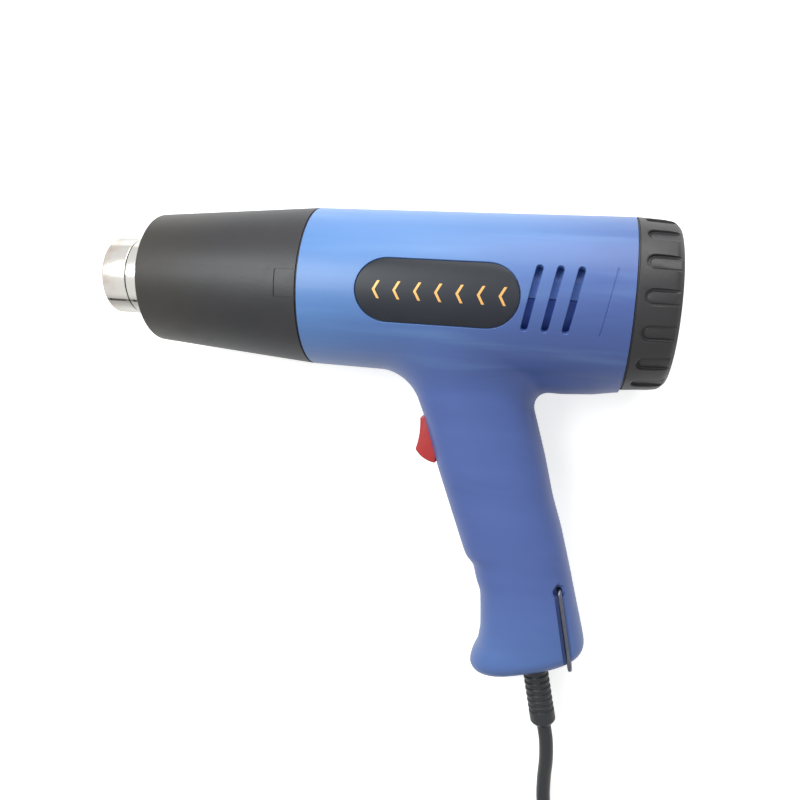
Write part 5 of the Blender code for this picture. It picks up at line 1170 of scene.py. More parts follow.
# %% Shield
SHIELD_X = 0.0227
SHIELD_FRONT_RADIUS = 0.0282
SHIELD_TAPER = (SHIELD_REAR_RADIUS - SHIELD_FRONT_RADIUS) / (HOUSING_X - SHIELD_X)
SHIELD_WALL = 0.0022
SPIGOT_WALL = 0.0016
SPIGOT_LENGTH = 0.006  # the tongue inside the housing
SPIGOT_ROOT = 0.004  # how far the tongue's bore goes on into the shield
LINE_WIDTH = 0.0005  # the shadow line at a seam
LINE_DEPTH = 0.0006
shield_end = HOUSING_X - GAP
line_start = shield_end - LINE_WIDTH
line_radius = SHIELD_REAR_RADIUS - LINE_DEPTH
spigot = SHIELD_REAR_RADIUS - WALL - GAP
bore = spigot - SPIGOT_WALL
outline = [
    (SHIELD_X, NOZZLE_RADIUS + GAP, 0.0004), (SHIELD_X, SHIELD_FRONT_RADIUS, 0.0014),
    (line_start, SHIELD_REAR_RADIUS, 0.0002), (line_start, line_radius, 0),
    (shield_end, line_radius, 0), (shield_end, spigot, 0),
    (HOUSING_X + SPIGOT_LENGTH, spigot, 0.0004), (HOUSING_X + SPIGOT_LENGTH, bore, 0),
    (HOUSING_X - SPIGOT_ROOT, bore, 0), (SHIELD_X + SHIELD_WALL, SHIELD_FRONT_RADIUS - SHIELD_WALL, 0),
    (SHIELD_X + SHIELD_WALL, NOZZLE_RADIUS + GAP, 0),
]
shield = turned("front_shield_skin", rounded(outline, 7), 144)
print("the shield's cone opens by", round(math.degrees(math.atan(SHIELD_TAPER)), 1), "degrees")

# %% Latch tab
LATCH_X = 0.0874  # the groove in front of the tab
LATCH_EDGES = (-9, 10)  # degrees round the cone
LATCH_DEPTH = 0.0003
EDGE_DEPTH = 0.4 * LATCH_DEPTH  # of the grooves beside the tab
EDGE_HALF = 0.3  # half width of those grooves, in degrees


def cone_bar(x0, x1, a0, a1, depth, steps=12):
    """A thin bar sunk in the shield between two lengths and two angles."""
    rings = []
    for k in range(steps + 1):
        angle = math.radians(a0 + (a1 - a0) * k / steps)
        ring = []
        for x, lift in ((x0, -depth), (x1, -depth), (x1, PROUD), (x0, PROUD)):
            radius = SHIELD_FRONT_RADIUS + SHIELD_TAPER * (x - SHIELD_X) + lift
            ring.append(around(x, radius, angle))
        rings.append(ring)
    return loft("bar", rings)


carve(shield, cone_bar(LATCH_X - LATCH_DEPTH, LATCH_X + LATCH_DEPTH, *LATCH_EDGES, LATCH_DEPTH))
for edge in LATCH_EDGES:
    carve(shield, cone_bar(LATCH_X, HOUSING_X + PROUD, edge - EDGE_HALF, edge + EDGE_HALF, EDGE_DEPTH))
dress(shield, shield_nylon, "gun", ["front_shield"], limit=25)

# %% [markdown]
# ## Nozzle
# Two steel rings show in front of the shield: a collar with a rolled lip and a plain sleeve
# behind a seam. Their sheet is thin, so the roundings are what makes them read as metal. A
# groove along each ring marks the joint where the rolled sheet was closed, and a small
# dimple is pressed into the collar near its lip.

# %% Nozzle
SHEET = 0.0008
COLLAR_LENGTH = 0.0114
MOUTH_RADIUS = 0.0146
NOZZLE_SEAM = 0.0004
SLEEVE_GRIP = 0.007  # how far the sleeve goes on inside the shield
DIMPLE_X = 0.0030
DIMPLE_ANGLE = math.radians(2)
DIMPLE_RADIUS = 0.0012
DIMPLE_LIFT = 0.0009  # of the ball that presses it, over the sheet
JOINT_SECTION = (  # radius, place across the groove
    (0.0165, -0.0005), (0.0165, 0.0005), (0.0180, 0.0007), (0.0180, -0.0007),
)
inner = NOZZLE_RADIUS - SHEET
outline = [
    (COLLAR_LENGTH, inner, 0), (COLLAR_LENGTH, NOZZLE_RADIUS, 0.0004), (0.0, NOZZLE_RADIUS, 0.0011),
    (0.0, MOUTH_RADIUS, 0.0003), (SHEET, MOUTH_RADIUS, 0.0003), (SHEET, inner, 0.0004),
]
collar = turned("nozzle_collar_skin", rounded(outline, 8), 128)
dimple = Vector(around(DIMPLE_X, NOZZLE_RADIUS + DIMPLE_LIFT, DIMPLE_ANGLE))
dent_rings = []
for k in range(1, 9):
    x, r = math.cos(math.pi * k / 9) * DIMPLE_RADIUS, math.sin(math.pi * k / 9) * DIMPLE_RADIUS
    dent_rings.append([dimple + Vector(around(x, r, TURN * i / 16)) for i in range(16)])
carve(collar, loft("dent", dent_rings))

COLLAR_JOINT = (0.0020, COLLAR_LENGTH - 0.0016)
SLEEVE_JOINT = (0.0135, SHIELD_X - 0.002)


def joint_groove(x0, x1):
    """The shallow groove of the sheet's joint between two lengths."""
    rings = []
    for x in (x0, x1):
        rings.append([around(x, r, JOINT_ANGLE + wide / NOZZLE_RADIUS) for r, wide in JOINT_SECTION])
    return loft("joint_groove", rings)


carve(collar, joint_groove(*COLLAR_JOINT))
dress(collar, bright_steel, "gun", ["nozzle_collar"])
sleeve_x = COLLAR_LENGTH + NOZZLE_SEAM
sleeve_end = SHIELD_X + SLEEVE_GRIP
outline = [
    (sleeve_x, inner, 0), (sleeve_x, NOZZLE_RADIUS, 0.0004), (sleeve_end, NOZZLE_RADIUS, 0),
    (sleeve_end, inner, 0),
]
sleeve = turned("nozzle_sleeve_skin", rounded(outline, 8), 128)
carve(sleeve, joint_groove(*SLEEVE_JOINT))
dress(sleeve, bright_steel, "gun", ["nozzle_sleeve"])

# %% [markdown]
# ## Copies by Geometry Nodes
# Pads, ribs, slots, ridges and screws repeat. Two small node trees place copies of a
# template, and they share their beginning and their end: named inputs, and copies that are
# made real and given a material. In the first tree each copy stands a step further along the
# x axis and a turn further round it, so one tree serves the cap's pads, its air slots, the
# strain relief's ribs and the plug's grooves.


# %% How a tree begins, ends and is used
def new_tree(name, inputs):
    """A node tree with named inputs; returns it with its inputs as wires."""
    tree = bpy.data.node_groups.new(name, "GeometryNodeTree")
    tree.interface.new_socket("Geometry", in_out="OUTPUT", socket_type="NodeSocketGeometry")
    for label, kind in inputs.items():
        tree.interface.new_socket(label, in_out="INPUT", socket_type="NodeSocket" + kind)
    entries = tree.nodes.new("NodeGroupInput")
    return tree, {socket.name: Wire(tree, socket) for socket in entries.outputs if socket.name}


def place_copies(tree, inputs, points, rotation):
    """Put the template on the points, make the copies real and give them the material."""
    ground = Wire(tree)
    template = ground.add("GeometryNodeObjectInfo", {}, {"Object": inputs["Template"]}, "Geometry")
    sockets = {"Points": points, "Instance": template, "Rotation": rotation}
    copies = ground.add("GeometryNodeInstanceOnPoints", {}, sockets)
    real = ground.add("GeometryNodeRealizeInstances", {}, {"Geometry": copies})
    sockets = {"Geometry": real, "Material": inputs["Material"]}
    coated = ground.add("GeometryNodeSetMaterial", {}, sockets)
    tree.links.new(coated.socket, tree.nodes.new("NodeGroupOutput").inputs["Geometry"])


def grown(piece, tree, values):
    """Run a tree on a piece, its inputs set by identifier; the template is used up."""
    step = piece.modifiers.new("copies", "NODES")
    step.node_group = tree
    for item in tree.interface.items_tree:
        if item.in_out == "INPUT" and item.name in values:
            step[item.identifier] = values[item.name]
    settle(piece)
    bpy.data.objects.remove(values["Template"])
    return piece


print("a tree's beginning, end and use are ready")

# %% A tree that repeats a template
repeat, inputs = new_tree(
    "repeat_round_and_along",
    {
        "Template": "Object", "Count": "Int", "Step": "Float", "First turn": "Float",
        "Turn": "Float", "Material": "Material",
    },
)
ground = Wire(repeat)
index = ground.add("GeometryNodeInputIndex")
line = ground.add("GeometryNodeMeshLine", {}, {"Count": inputs["Count"], "Offset": (0, 0, 0)})
shift = ground.add("ShaderNodeCombineXYZ", {}, {"X": index * inputs["Step"]})
spread = ground.add("GeometryNodeSetPosition", {}, {"Geometry": line, "Position": shift})
spin = index * inputs["Turn"] + inputs["First turn"]
place_copies(repeat, inputs, spread, ground.add("ShaderNodeCombineXYZ", {}, {"X": spin}))


def repeated(name, template, count, step=0.0, first=0.0, turn=0.0):
    """Copies of a template as one plain mesh; cutters need no material."""
    values = {"Template": template, "Count": count, "Step": step, "First turn": first, "Turn": turn}
    return grown(put(name, bpy.data.meshes.new(name)), repeat, values)


print("the tree has", len(repeat.nodes), "nodes")

# %% [markdown]
# ## Rear cap
# The cap closes the barrel and lets the air in. Sixteen shallow, round-fronted pads give the
# fingers a grip, and a ring of slots in its face is the intake. One pad and one slot are
# drawn as cutters, repeated by the tree, and carved out of the turned cap. The pad's cutter
# has soft corners, so that the carved walls roll, and a rim that leaves a fine groove round
# each pad's foot.

# %% Cap
REAR_X = 0.2436
CAP_LENGTH = REAR_X - CAP_X
CAP_WALL = 0.0022
CAP_TAPER = 0.0007
CAP_EDGE = 0.0030
CAP_SCREW_DEPTH = 0.0025  # from the rear face to the screw's seat
HUB_RADIUS = 0.0075
HUB_START = 0.0043  # behind the cap's front edge
hub_x = CAP_X + HUB_START
rim = HOUSING_REAR_RADIUS - CAP_TAPER
line_end = CAP_X + GAP + LINE_WIDTH
line_radius = HOUSING_REAR_RADIUS - LINE_DEPTH
seat_x = REAR_X - CAP_SCREW_DEPTH
outline = [
    (CAP_X + GAP, HOUSING_REAR_RADIUS - CAP_WALL, 0), (CAP_X + GAP, line_radius, 0),
    (line_end, line_radius, 0), (line_end, HOUSING_REAR_RADIUS, 0.0002),
    (REAR_X - 2 * CAP_EDGE, rim, 0), (REAR_X - 0.7 * CAP_EDGE, rim - 0.22 * CAP_EDGE, 0.004),
    (REAR_X, rim - 0.92 * CAP_EDGE, 0.0012), (REAR_X, HEAD_HOLE, 0.0003), (seat_x, HEAD_HOLE, 0),
    (seat_x, SHANK_HOLE, 0), (hub_x, SHANK_HOLE, 0), (hub_x, HUB_RADIUS, 0),
    (REAR_X - CAP_WALL, HUB_RADIUS, 0), (REAR_X - CAP_WALL, rim - CAP_WALL, 0),
]
cap = turned("rear_cap_skin", rounded(outline, 8), 192)
print("the cap is", round(CAP_LENGTH * 1000, 1), "mm long")

# %% Pads of the cap
PAD_COUNT = 16
PAD_WIDTH = 0.0062
PAD_DEPTH = 0.0009
PAD_START = 0.0034  # from the cap's front edge
PAD_BEYOND = 0.004  # the cutter goes on this far past the rear face
PAD_TURN = math.radians(-5)
PAD_LEVELS = (  # height over the pad's face, growth
    (0.0, -0.0013), (-0.00010, -0.0011), (-0.00028, -0.0009), (-0.00035, -0.0006),
    (-0.00030, -0.00025), (-0.00015, -0.00006), (0.0001, 0.0), (0.00065, 0.0),
    (0.0008, 0.00008), (0.00093, 0.0003), (0.0010, 0.0007), (0.006, 0.0007),
)
slope = CAP_TAPER / (CAP_LENGTH - 2 * CAP_EDGE)
bed = HOUSING_REAR_RADIUS * math.cos(PAD_WIDTH / 2 / HOUSING_REAR_RADIUS) - PAD_DEPTH
lift = Matrix.Translation((REAR_X, 0, bed - slope * CAP_LENGTH)) @ Matrix.Rotation(slope, 4, "Y")
pad_rings = []
for height, grow in PAD_LEVELS:
    flat = stadium((CAP_LENGTH - PAD_START) * 2, PAD_WIDTH, grow, 16)
    pad_rings.append([lift @ Vector((min(u, PAD_BEYOND), v, height)) for u, v in flat])
pads = repeated("pads", loft("pad", pad_rings), PAD_COUNT, first=PAD_TURN, turn=-TURN / PAD_COUNT)
carve(cap, pads)
print("carved", PAD_COUNT, "pads")

# %% Air slots of the cap
AIR_SLOTS = 12
AIR_SHARE = 0.44  # of the ring that the slots take
AIR_INNER = 0.0035  # from the hub to the slots
AIR_OUTER = 0.0060  # from the slots to the wall
AIR_LEVELS = (  # place past the rear face, growth
    (-0.004, 0.0), (-0.0004, 0.0), (0.0, 0.0003), (PROUD, 0.0003),
)
slot_rings = []
for ahead, grow in AIR_LEVELS:
    near = HUB_RADIUS + AIR_INNER - grow
    far = HOUSING_REAR_RADIUS - WALL - AIR_OUTER + grow
    ring = []
    for radius, order in ((near, (-1, -0.5, 0, 0.5, 1)), (far, (1, 0.5, 0, -0.5, -1))):
        half = TURN / AIR_SLOTS * AIR_SHARE / 2 + grow / radius
        ring += [around(REAR_X + ahead, radius, part * half) for part in order]
    slot_rings.append(ring)
carve(cap, repeated("cap_slots", loft("air_slot", slot_rings), AIR_SLOTS, turn=TURN / AIR_SLOTS))
dress(cap, black_nylon, "rear_cap", ["rear_cap"], limit=30)

# %% [markdown]
# ## Label plates
# A black plate lies in a bed on each side. The real one's wording isn't repeated. In its
# place seven plain gold chevrons show which way the air goes. They are printed, so they
# belong in the finish and not in the mesh: the plate carries a UV map in metres, and the
# chevrons are lines in it.

# %% Label finish
CHEVRON_PITCH = 0.0082
CHEVRON_SLOPE = 0.55
CHEVRON_HALF = 0.0034  # half height
CHEVRON_LINE = 0.00046  # half thickness
LINE_BLUR = 0.00015  # the print's edges are a little soft
END_BLUR = 0.0002
label_black, here, connect = new_finish("label_black", {"Specular IOR Level": 0.38})
plan = here.add("ShaderNodeUVMap", {"uv_map": "plate"})
u, v, _ = plan.parts()
height = v.size()
chevron = 0.0
for k in range(-3, 4):
    spine = u - k * CHEVRON_PITCH - height * CHEVRON_SLOPE
    stroke = 1 - spine.size().step(CHEVRON_LINE, CHEVRON_LINE + LINE_BLUR)
    chevron = stroke.most(chevron)
gold = chevron * (1 - height.step(CHEVRON_HALF, CHEVRON_HALF + END_BLUR))
haze = here.noise(40.0, 4.0, 0.6)
grains = here.noise(1900.0, 2.0, 0.5)
plain = haze.step(0.3, 0.7).mix(rgb(20, 25, 34), rgb(30, 34, 43))
connect(Base_Color=gold.mix(plain, rgb(238, 180, 104)), Metallic=gold * 0.25)
connect(Roughness=haze * 0.12 + grains * 0.05 + 0.34 - gold * 0.08)
connect(Normal=(grains * 0.4 + gold).bump(0.00003, 0.6))
print("chevrons stand", CHEVRON_PITCH * 1000, "mm apart")

# %% Plates
PLATE_LEVELS = (  # depth under the barrel's cone, growth
    (0.0006, -0.0002), (0.0004, 0.0), (0.00028, 0.0), (0.00017, -0.00007), (0.0001, -0.00026),
)


def plate(name, hand):
    """A lozenge with a softly rounded rim, and a map of its face in metres."""
    piece = lozenge(name, LABEL_X, (LABEL_LENGTH, LABEL_HEIGHT), PLATE_LEVELS, hand, steps=32)
    flat = piece.data.uv_layers.new(name="plate")
    for loop in piece.data.loops:
        spot = piece.data.vertices[loop.vertex_index].co
        arc = math.atan2(spot.y, abs(spot.z)) * barrel_radius(LABEL_X)
        flat.data[loop.index].uv = (spot.x - LABEL_X, arc)
    return piece


for name, hand in (("label_left", 1), ("label_right", -1)):
    dress(plate(name + "_skin", hand), label_black, "gun", [name], limit=40)

# %% [markdown]
# ## Rocker
# The red rocker is half a drum that turns on a pin behind the handle's face. Its pressed
# face is dished between two tips. It is drawn from the side, given its width, and all its
# edges are rounded by a bevel, as a moulded key's are.

# %% Rocker
ROCKER_TIP = math.radians(37)  # half the angle between the tips
ROCKER_TILT = math.radians(23)  # at rest the lower tip stands out
ROCKER_SPREAD = math.radians(92)  # half of what the key takes of its drum
ROCKER_DISH = 0.0007
ROCKER_EDGE = 0.0006
PIN_HOLE = 0.0013


def drum_arc(start, stop, steps=14):
    """Points on the rocker's drum between two angles."""
    points = []
    for k in range(steps + 1):
        angle = start + (stop - start) * k / steps
        points.append((ROCKER_RADIUS * math.cos(angle), ROCKER_RADIUS * math.sin(angle)))
    return points


switch_turn = Matrix.Translation(pin_spot) @ Matrix(
    ((DOWN.x, -BACK.x, 0, 0), (DOWN.y, -BACK.y, 0, 0), (0, 0, -1, 0), (0, 0, 0, 1))
)
middle = math.pi / 2 + ROCKER_TILT
c, s = math.cos(middle), math.sin(middle)
chord = ROCKER_RADIUS * math.cos(ROCKER_TIP)
half_chord = ROCKER_RADIUS * math.sin(ROCKER_TIP)
face = []
for k in range(1, 16):
    part = 1 - k / 8
    rise, across = chord - ROCKER_DISH * (1 - part**2), half_chord * part
    face.append((rise * c + across * s, rise * s - across * c))
outline = drum_arc(middle - ROCKER_SPREAD, middle - ROCKER_TIP) + face
outline += drum_arc(middle + ROCKER_TIP, middle + ROCKER_SPREAD)
half = ROCKER_WIDTH / 2
rings = [[switch_turn @ Vector((a, b, z)) for a, b in outline] for z in (-half, half)]
rocker = loft("switch_rocker_skin", rings)
soften_edges(rocker, ROCKER_EDGE, 4, 30)
across = Vector((0, 0, ROCKER_WIDTH))
carve(rocker, rod("bore", pin_spot - across, pin_spot + across, PIN_HOLE))
dress(rocker, rocker_red, "rocker", ["switch_rocker"], limit=40)

# %% [markdown]
# ## Hanging bail
# The bail is a bent wire with a stub in each side of the butt. A tube is swept along its
# path, with even rings at the bends.


# %% Bail
def sweep(name, points, radius, segments=20):
    """A round tube along a path, with its ends closed by small domes."""
    path = [Vector(point) for point in points]
    ways = [(b - a).normalized() for a, b in zip(path, path[1:])]
    ways = [ways[0], *((a + b).normalized() for a, b in zip(ways, ways[1:])), ways[-1]]
    across = ways[0].orthogonal().normalized()
    rings = []
    for spot, way in zip(path, ways):
        across = (across - way * across.dot(way)).normalized()
        other = way.cross(across)
        ring = []
        for k in range(segments):
            angle = TURN * k / segments
            ring.append(spot + (across * math.cos(angle) + other * math.sin(angle)) * radius)
        rings.append(ring)
    first, last = [], []
    for share, ahead in ((0.35, 0.94), (0.75, 0.66), (0.95, 0.31)):
        bulge = radius * ahead * 0.5
        first.append([path[0] + (p - path[0]) * share - ways[0] * bulge for p in rings[0]])
        last.insert(0, [path[-1] + (p - path[-1]) * share + ways[-1] * bulge for p in rings[-1]])
    return loft(name, first + rings + last)


BAIL_LENGTH = 0.0352
BAIL_STUB = 0.0042  # of the wire's ends inside the butt
TIGHT_BEND = 2.2 * BAIL_WIRE
WIDE_BEND = 0.0028
leg = leaning(BAIL_LEAN).normalized()
quarter = [math.pi / 2 * k / 12 for k in range(13)]
half_path = [(BAIL_SIDE - BAIL_STUB, 0.0)]
for angle in quarter:
    half_path.append((BAIL_SIDE - TIGHT_BEND * (1 - math.sin(angle)), TIGHT_BEND * (1 - math.cos(angle))))
for angle in quarter:
    down = BAIL_LENGTH - WIDE_BEND * (1 - math.sin(angle))
    half_path.append((BAIL_SIDE - WIDE_BEND * (1 - math.cos(angle)), down))
sideways = Vector((0, 0, 1))
path = [bail_spot + sideways * z + leg * down for z, down in half_path]
path += [bail_spot - sideways * z + leg * down for z, down in reversed(half_path)]
bail = sweep("hanging_bail_skin", path, BAIL_WIRE)
dress(bail, bail_steel, "bail", ["hanging_bail"], limit=60)

# %% [markdown]
# ## Strain relief
# The strain relief is soft black rubber. Rings stand on a thinner neck so that it can bend,
# small bridges join them, and a plain collar grips the cord. Ring and bridge are templates
# that the tree repeats along the axis.

# %% Strain relief
RELIEF_RADIUS = 0.0056
RELIEF_NECK = 0.0051
RELIEF_NOSE = 0.0022  # length of the rounded end
FLANGE_RADIUS = 0.0072
FLANGE_ENDS = (-0.0060, -0.0036)  # inside the butt
COLLAR = 0.0075
RIB_COUNT = 8
RIB_START = 0.0008
RIB_SHARE = 0.70  # of each step along the neck
RIB_ROUND = 0.0009
RIB_ROOT = 0.001  # a rib begins this far inside the neck
relief_axis = Matrix.Translation(relief_start) @ relief_way.to_track_quat("X", "Z").to_matrix().to_4x4()
pitch = (RELIEF_LENGTH - COLLAR - RIB_START) / RIB_COUNT
collar_x = RELIEF_LENGTH - COLLAR
outline = [
    (FLANGE_ENDS[0], 0.0, 0), (FLANGE_ENDS[0], FLANGE_RADIUS, 0.0004),
    (FLANGE_ENDS[1], FLANGE_RADIUS, 0.0004), (FLANGE_ENDS[1], RELIEF_NECK, 0),
    (collar_x, RELIEF_NECK, 0.0002), (collar_x, RELIEF_RADIUS, 0.0004),
    (RELIEF_LENGTH - RELIEF_NOSE, RELIEF_RADIUS, 0.0014), (RELIEF_LENGTH, CORD_RADIUS * 1.15, 0.0004),
    (RELIEF_LENGTH, 0.0, 0),
]
relief = turned("strain_relief_skin", rounded(outline, 6), 64)
rib_end = pitch * RIB_SHARE
root = RELIEF_NECK - RIB_ROOT
rib_outline = [
    (0.0, root, 0), (0.0, RELIEF_RADIUS, RIB_ROUND), (rib_end, RELIEF_RADIUS, RIB_ROUND),
    (rib_end, root, 0),
]
rib = turned("rib", [(x + RIB_START, r) for x, r in rounded(rib_outline, 5)], 64)
carve(relief, repeated("ribs", rib, RIB_COUNT, pitch), "UNION")
print(RIB_COUNT, "ribs stand", round(pitch * 1000, 2), "mm apart")

# %% Bridges between the ribs
BRIDGE_HALF = (0.0010, 0.0017, 0.0004)  # along the neck, across it, and standing out
bridge_x = RIB_START + pitch * (1 + RIB_SHARE) / 2
bridge_rings = []
for k in range(1, 8):
    x, r = math.cos(math.pi * k / 8) * BRIDGE_HALF[0], math.sin(math.pi * k / 8)
    ring = []
    for angle in (TURN * i / 20 for i in range(20)):
        wide, high = r * BRIDGE_HALF[1] * math.cos(angle), r * BRIDGE_HALF[2] * math.sin(angle)
        ring.append((bridge_x + x, wide, RELIEF_NECK + high))
    bridge_rings.append(ring)
bridges = repeated("bridges", loft("bridge", bridge_rings), RIB_COUNT - 1, pitch)
carve(relief, both_sides(bridges), "UNION")
dress(relief, black_pvc, "gun", ["strain_relief"], GUN @ relief_axis, 40)

# %% [markdown]
# ## Screws
# Five screws hold the halves together, deep in their seats on the right. One is drawn with
# its pan head and crossed recess, and Geometry Nodes put a copy on each of five points.


# %% Screws
def pan_screw(name, head, shank, height, length):
    """A pan head screw along -x, with its seat at x = 0 and a crossed recess."""
    outline = [
        (-height, 0, 0), (-height, head, height * 0.7), (0, head, 0.0001), (0, shank, 0),
        (length - shank, shank, 0), (length, 0, 0),
    ]
    piece = turned(name, rounded(outline, 5), 28)
    arm, thick = head * 0.62, head * 0.11
    for a, b in ((arm, thick), (thick, arm)):
        corners = ((-a, -b), (a, -b), (a, b), (-a, b))
        rings = []
        for x, share in ((-height - PROUD, 1.25), (-height * 0.25, 0.75)):
            rings.append([(x, p * share, q * share) for p, q in corners])
        carve(piece, loft("recess", rings))
    return piece


places, inputs = new_tree(
    "screws_on_points",
    {"Geometry": "Geometry", "Template": "Object", "Heading": "Vector", "Material": "Material"},
)
place_copies(places, inputs, inputs["Geometry"], inputs["Heading"])


def screws_at(name, spots, heading, screw, body, replaced):
    """Copies of a screw on points of the gun, as one piece."""
    values = {"Template": screw, "Heading": heading, "Material": zinc_plate}
    piece = grown(raw_piece(name, spots, []), places, values)
    return dress(piece, zinc_plate, body, replaced, limit=35)


# %% Screws in their places
SCREW_SHANK = 0.0014
SCREW_HEIGHT = 0.0018
HOUSING_SCREW_LENGTH = 0.0108
CAP_SCREW_LENGTH = 0.0180
seats = [spot - Vector((0, 0, SCREW_SEAT + GAP)) for spot in SCREW_SPOTS]
screw = pan_screw("screw", SCREW_HEAD_RADIUS, SCREW_SHANK, SCREW_HEIGHT, HOUSING_SCREW_LENGTH)
screw_names = [f"housing_screw_{k}" for k in range(1, 6)]
screws_at("housing_screws", seats, (0, -math.pi / 2, 0), screw, "gun", screw_names)
screw = pan_screw("screw", SCREW_HEAD_RADIUS, SCREW_SHANK, SCREW_HEIGHT, CAP_SCREW_LENGTH)
cap_body = nodes["cap_screw"]["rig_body"]
cap_seat = [(seat_x + GAP, 0, 0)]
screws_at("cap_screw_skin", cap_seat, (0, 0, math.pi), screw, cap_body, ["cap_screw"])

# %% [markdown]
# ## Plug and tie
# The plug is a moulded body with grip ridges and two blades. The tie is a strap round the
# coil's turns. Both lie on the table outside the picture, but the part is seen from every
# side, so they are finished too.

# %% Plug
PLUG_LENGTH = 0.030
PLUG_WIDTH = 0.022
PLUG_HEIGHT = 0.014
plug_end = cord_points[-1]
heading = Vector((leaving.x, leaving.y, 0)).normalized()
plug_turn = heading.to_track_quat("X", "Z").to_matrix().to_4x4()
plug_spot = Vector((plug_end.x, plug_end.y, PLUG_HEIGHT / 2)) + heading * GAP
plug_base = Matrix.Translation(plug_spot) @ plug_turn
neck = CORD_RADIUS * 1.5
wide, tall = PLUG_WIDTH / 2, PLUG_HEIGHT / 2
PLUG_ROWS = (  # place, half width, half height, how far it is drawn to the cord's height
    (0.0, neck * 0.8, neck * 0.8, 1.0), (0.0005, neck, neck, 0.96), (0.004, neck, neck, 0.6),
    (0.008, neck * 1.15, neck * 1.1, 0.1), (0.0100, wide * 0.58, tall * 0.80, 0.0),
    (0.0120, wide * 0.80, tall * 0.90, 0.0), (0.0140, wide * 0.94, tall * 0.97, 0.0),
    (0.016, wide, tall, 0.0), (0.0292, wide, tall, 0.0), (0.0297, wide - 0.0003, tall - 0.0003, 0.0),
    (PLUG_LENGTH, wide - 0.0009, tall - 0.0009, 0.0),
)
rings = []
for x, half_width, half_height, low in PLUG_ROWS:
    ring = []
    for k in range(64):
        angle = TURN * (k + 0.5) / 64
        y = abs(math.cos(angle)) ** 0.5 * math.copysign(half_width, math.cos(angle))
        z = abs(math.sin(angle)) ** 0.5 * math.copysign(half_height, math.sin(angle))
        ring.append((x, y, z + low * (plug_end.z - tall)))
    rings.append(ring)
plug = loft("plug_body_skin", rings)
print("the plug starts at", [round(v, 4) for v in plug_spot])

# %% Grooves of the plug's grip
GROOVE_COUNT = 5
GROOVE_PITCH = 0.0022
GROOVE_HALF = 0.0045  # half height
GROOVE_LEVELS = (  # place along the plug, depth
    (0.0174, 0.0), (0.01765, 0.0005), (0.0181, 0.0005), (0.01835, 0.0),
)
groove_rings = []
for x, deep in GROOVE_LEVELS:
    near, far = wide - deep, wide + PROUD
    groove_rings.append(
        [(x, near, -GROOVE_HALF), (x, far, -GROOVE_HALF), (x, far, GROOVE_HALF), (x, near, GROOVE_HALF)]
    )
grooves = repeated("grooves", loft("groove", groove_rings), GROOVE_COUNT, GROOVE_PITCH)
carve(plug, both_sides(grooves))
dress(plug, black_pvc, "gun", ["plug_body"], plug_base, 35)

# %% Blades
BLADE_SPACING = 0.0127
BLADE_LENGTH = 0.0175
BLADE_HALF = (0.00075, 0.00315)  # half thickness and half width
BLADE_CORNER = 0.0014
BLADE_HOLE = 0.0016
HOLE_X = PLUG_LENGTH + 0.0135
HOLE_REACH = 0.002  # of the drill to each side of a blade's middle
for number, hand in ((1, -1), (2, 1)):
    y = hand * BLADE_SPACING / 2
    root, tip, edge = PLUG_LENGTH + GAP, PLUG_LENGTH + BLADE_LENGTH, BLADE_HALF[1]
    corners = [(root, -edge, 0), (tip, -edge, BLADE_CORNER), (tip, edge, BLADE_CORNER), (root, edge, 0)]
    outline = rounded(corners, 5)
    rings = [[(u, y + t, v) for u, v in outline] for t in (-BLADE_HALF[0], BLADE_HALF[0])]
    blade = loft(f"plug_blade_skin_{number}", rings)
    drill = rod("hole", (HOLE_X, y - HOLE_REACH, 0), (HOLE_X, y + HOLE_REACH, 0), BLADE_HOLE, 24)
    carve(blade, drill)
    soften_edges(blade, 0.0002, 2, 40)
    dress(blade, brass, "gun", [f"plug_blade_{number}"], plug_base, 35)

# %% Tie
TIE_WIDTH = 0.008
TIE_SLACK = 0.0009
half_width = COIL_SPACING * (COIL_TURNS - 1) / 2 + CORD_RADIUS + TIE_SLACK
height = 2 * CORD_RADIUS + COIL_SPACING + 2 * GAP
corner = CORD_RADIUS + GAP
outside = corner + TIE_THICKNESS
edge = TIE_WIDTH / 2
corners = [(corner, -edge, 0), (outside, -edge, 0.0003), (outside, edge, 0.0003), (corner, edge, 0)]
section = rounded(corners, 4)
rings = []
for cx, cz, start in ((1, 1, 0), (-1, 1, 1), (-1, -1, 2), (1, -1, 3)):
    for k in range(9):
        angle = math.pi / 2 * (start + k / 8)
        x = cx * (half_width - corner) + COIL_RADIUS - COIL_SPACING / 4
        z = height / 2 + cz * (height / 2 - corner) + TIE_THICKNESS
        c, s = math.cos(angle), math.sin(angle)
        rings.append([(x + radius * c, width, z + radius * s) for radius, width in section])
tie = loft("coil_tie_skin", rings, closed=True)
tie_base = Matrix.Translation(coil_centre) @ Matrix.Rotation(COIL_START - 0.75 * TURN, 4, "Z")
dress(tie, black_pvc, "gun", ["coil_tie"], tie_base, 40)

# %% The cord's finish and its measures
cord_curve.materials.append(black_pvc)
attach(cord, "gun")
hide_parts("cord", "cord_coil", "cord_tail")
print("the cord is", round(cord_length, 3), "m long and", CORD_RADIUS * 2000, "mm thick")

# %% [markdown]
# ## What shows of the solids
# The inner pieces keep the solids' own shapes, which are right, and get their finishes here.

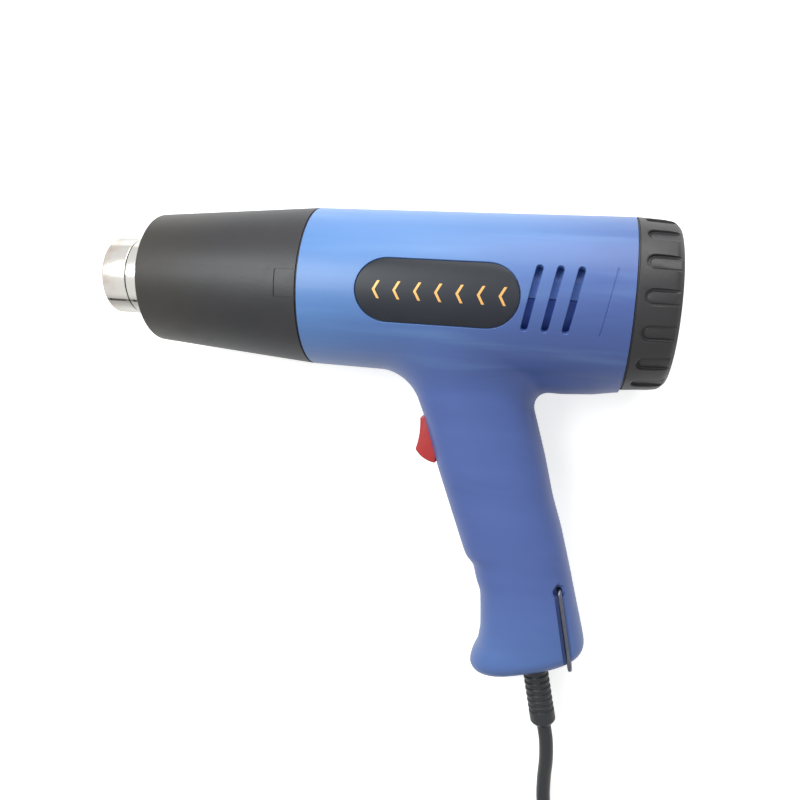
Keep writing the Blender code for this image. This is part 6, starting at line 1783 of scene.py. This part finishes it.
# %% Finishes of the inner pieces
inner_finish = {
    bright_steel: ["barrel_tube"],
    glass_wool: ["insulation_wrap"],
    mica: ["mica_liner", "heater_front_disc", "heater_rear_disc", "heater_core"],
    heater_wire: ["heater_coil"],
    zinc_plate: [
        "thermal_cutout", "motor_can", "motor_shaft", "switch_pin", "clamp_screw_1", "clamp_screw_2",
    ],
    # Painted light and shade: the upper duct half gets the lit blue, the lower one the shaded blue.
    duct_blue: ["fan_duct_upper"],
    duct_painted_shade_blue: ["fan_duct_lower"],
    inner_nylon: [
        "motor_end_cap", "motor_cradle", "impeller", "bridge_rectifier", "switch_body", "cord_clamp",
    ],
    black_nylon: ["intake_plate"],
    brass: ["bearing_rear", "bearing_front", "switch_terminal_1", "switch_terminal_2"],
    copper: ["commutator"],
    windings: ["armature"],
    circuit_board: ["rectifier_board"],
    carbon: ["brush_upper", "brush_lower"],
    black_pvc: ["cord_end"],
    lead_red: ["lead_supply", "lead_heater"],
    lead_white: ["lead_return"],
}
finished = set()
for material, names in inner_finish.items():
    for name in names:
        nodes[name].data.materials.clear()
        nodes[name].data.materials.append(material)
        finished.add(name)
left_over = [name for name, node in nodes.items() if not node.hide_render and name not in finished]
print("nodes without a finish:", left_over)

# %% [markdown]
# ## Table and light
# A pale, plain table and soft light at a plain level show colours about as they are written.
# The table's white comes from a little light of its own that only the camera and
# reflections see, so the object gets no extra light and its soft shadow stays.

# %% Table
TABLE_HALF = 4.0


def light_paths(ground):
    """Whether a ray comes from the camera, off a gloss or through glass."""
    kinds = ("Is Camera Ray", "Is Glossy Ray", "Is Transmission Ray")
    return [ground.add("ShaderNodeLightPath", {}, {}, kind) for kind in kinds]


plain = {"Roughness": 0.9, "Base Color": (0.86, 0.86, 0.85, 1)}
table_white, here, connect = new_finish("table_white", plain)
seen, mirrored, through = light_paths(here)
shown = seen * 0.68 + mirrored * 0.3 + through * 0.3
glow = here.add("ShaderNodeEmission", {}, {"Color": (1, 1, 0.985, 1), "Strength": shown})
wires = table_white.node_tree
surface = Wire(wires, wires.nodes["Principled BSDF"].outputs[0])
both = here.add("ShaderNodeAddShader", {}, {0: surface, 1: glow})
wires.links.new(both.socket, wires.nodes["Material Output"].inputs["Surface"])
corners = [(x * TABLE_HALF, y * TABLE_HALF, 0) for x, y in ((-1, -1), (1, -1), (1, 1), (-1, 1))]
floor = raw_piece("table", corners, [(0, 1, 2, 3)])
floor.data.materials.append(table_white)
print("the table is", 2 * TABLE_HALF, "m wide")

# %% Light
scene.view_settings.view_transform = "Standard"
world = bpy.data.worlds.new("studio")
scene.world = world
world.use_nodes = True
sky = world.node_tree.nodes["Background"]
sky.inputs["Color"].default_value = (1, 1, 1, 1)
seen, mirrored, through = light_paths(Wire(world.node_tree))
strength = seen.most(through) * 0.18 + seen.most(mirrored).most(through) * 0.46 + 0.36
world.node_tree.links.new(strength.socket, sky.inputs["Strength"])


def lamp(name, spot, target, size, power, colour=(1, 1, 1)):
    """A square soft light at a spot of the gun's frame, turned to a target."""
    data = bpy.data.lights.new(name, "AREA")
    data.color = colour
    data.size = size
    data.energy = power
    light = put(name, data)
    place = GUN @ Vector(spot)
    way = GUN @ Vector(target) - place
    light.matrix_world = Matrix.Translation(place) @ way.to_track_quat("-Z", "Y").to_matrix().to_4x4()
    print(name, "stands at", [round(v, 2) for v in place])


lamp("key", (-0.09, 0.13, 0.43), (0.14, 0.0, 0.0), 0.30, 2.0, (0.95, 0.99, 1.0))
lamp("top", (0.26, 0.55, 0.26), (0.19, 0.0, 0.0), 0.5, 2.8)
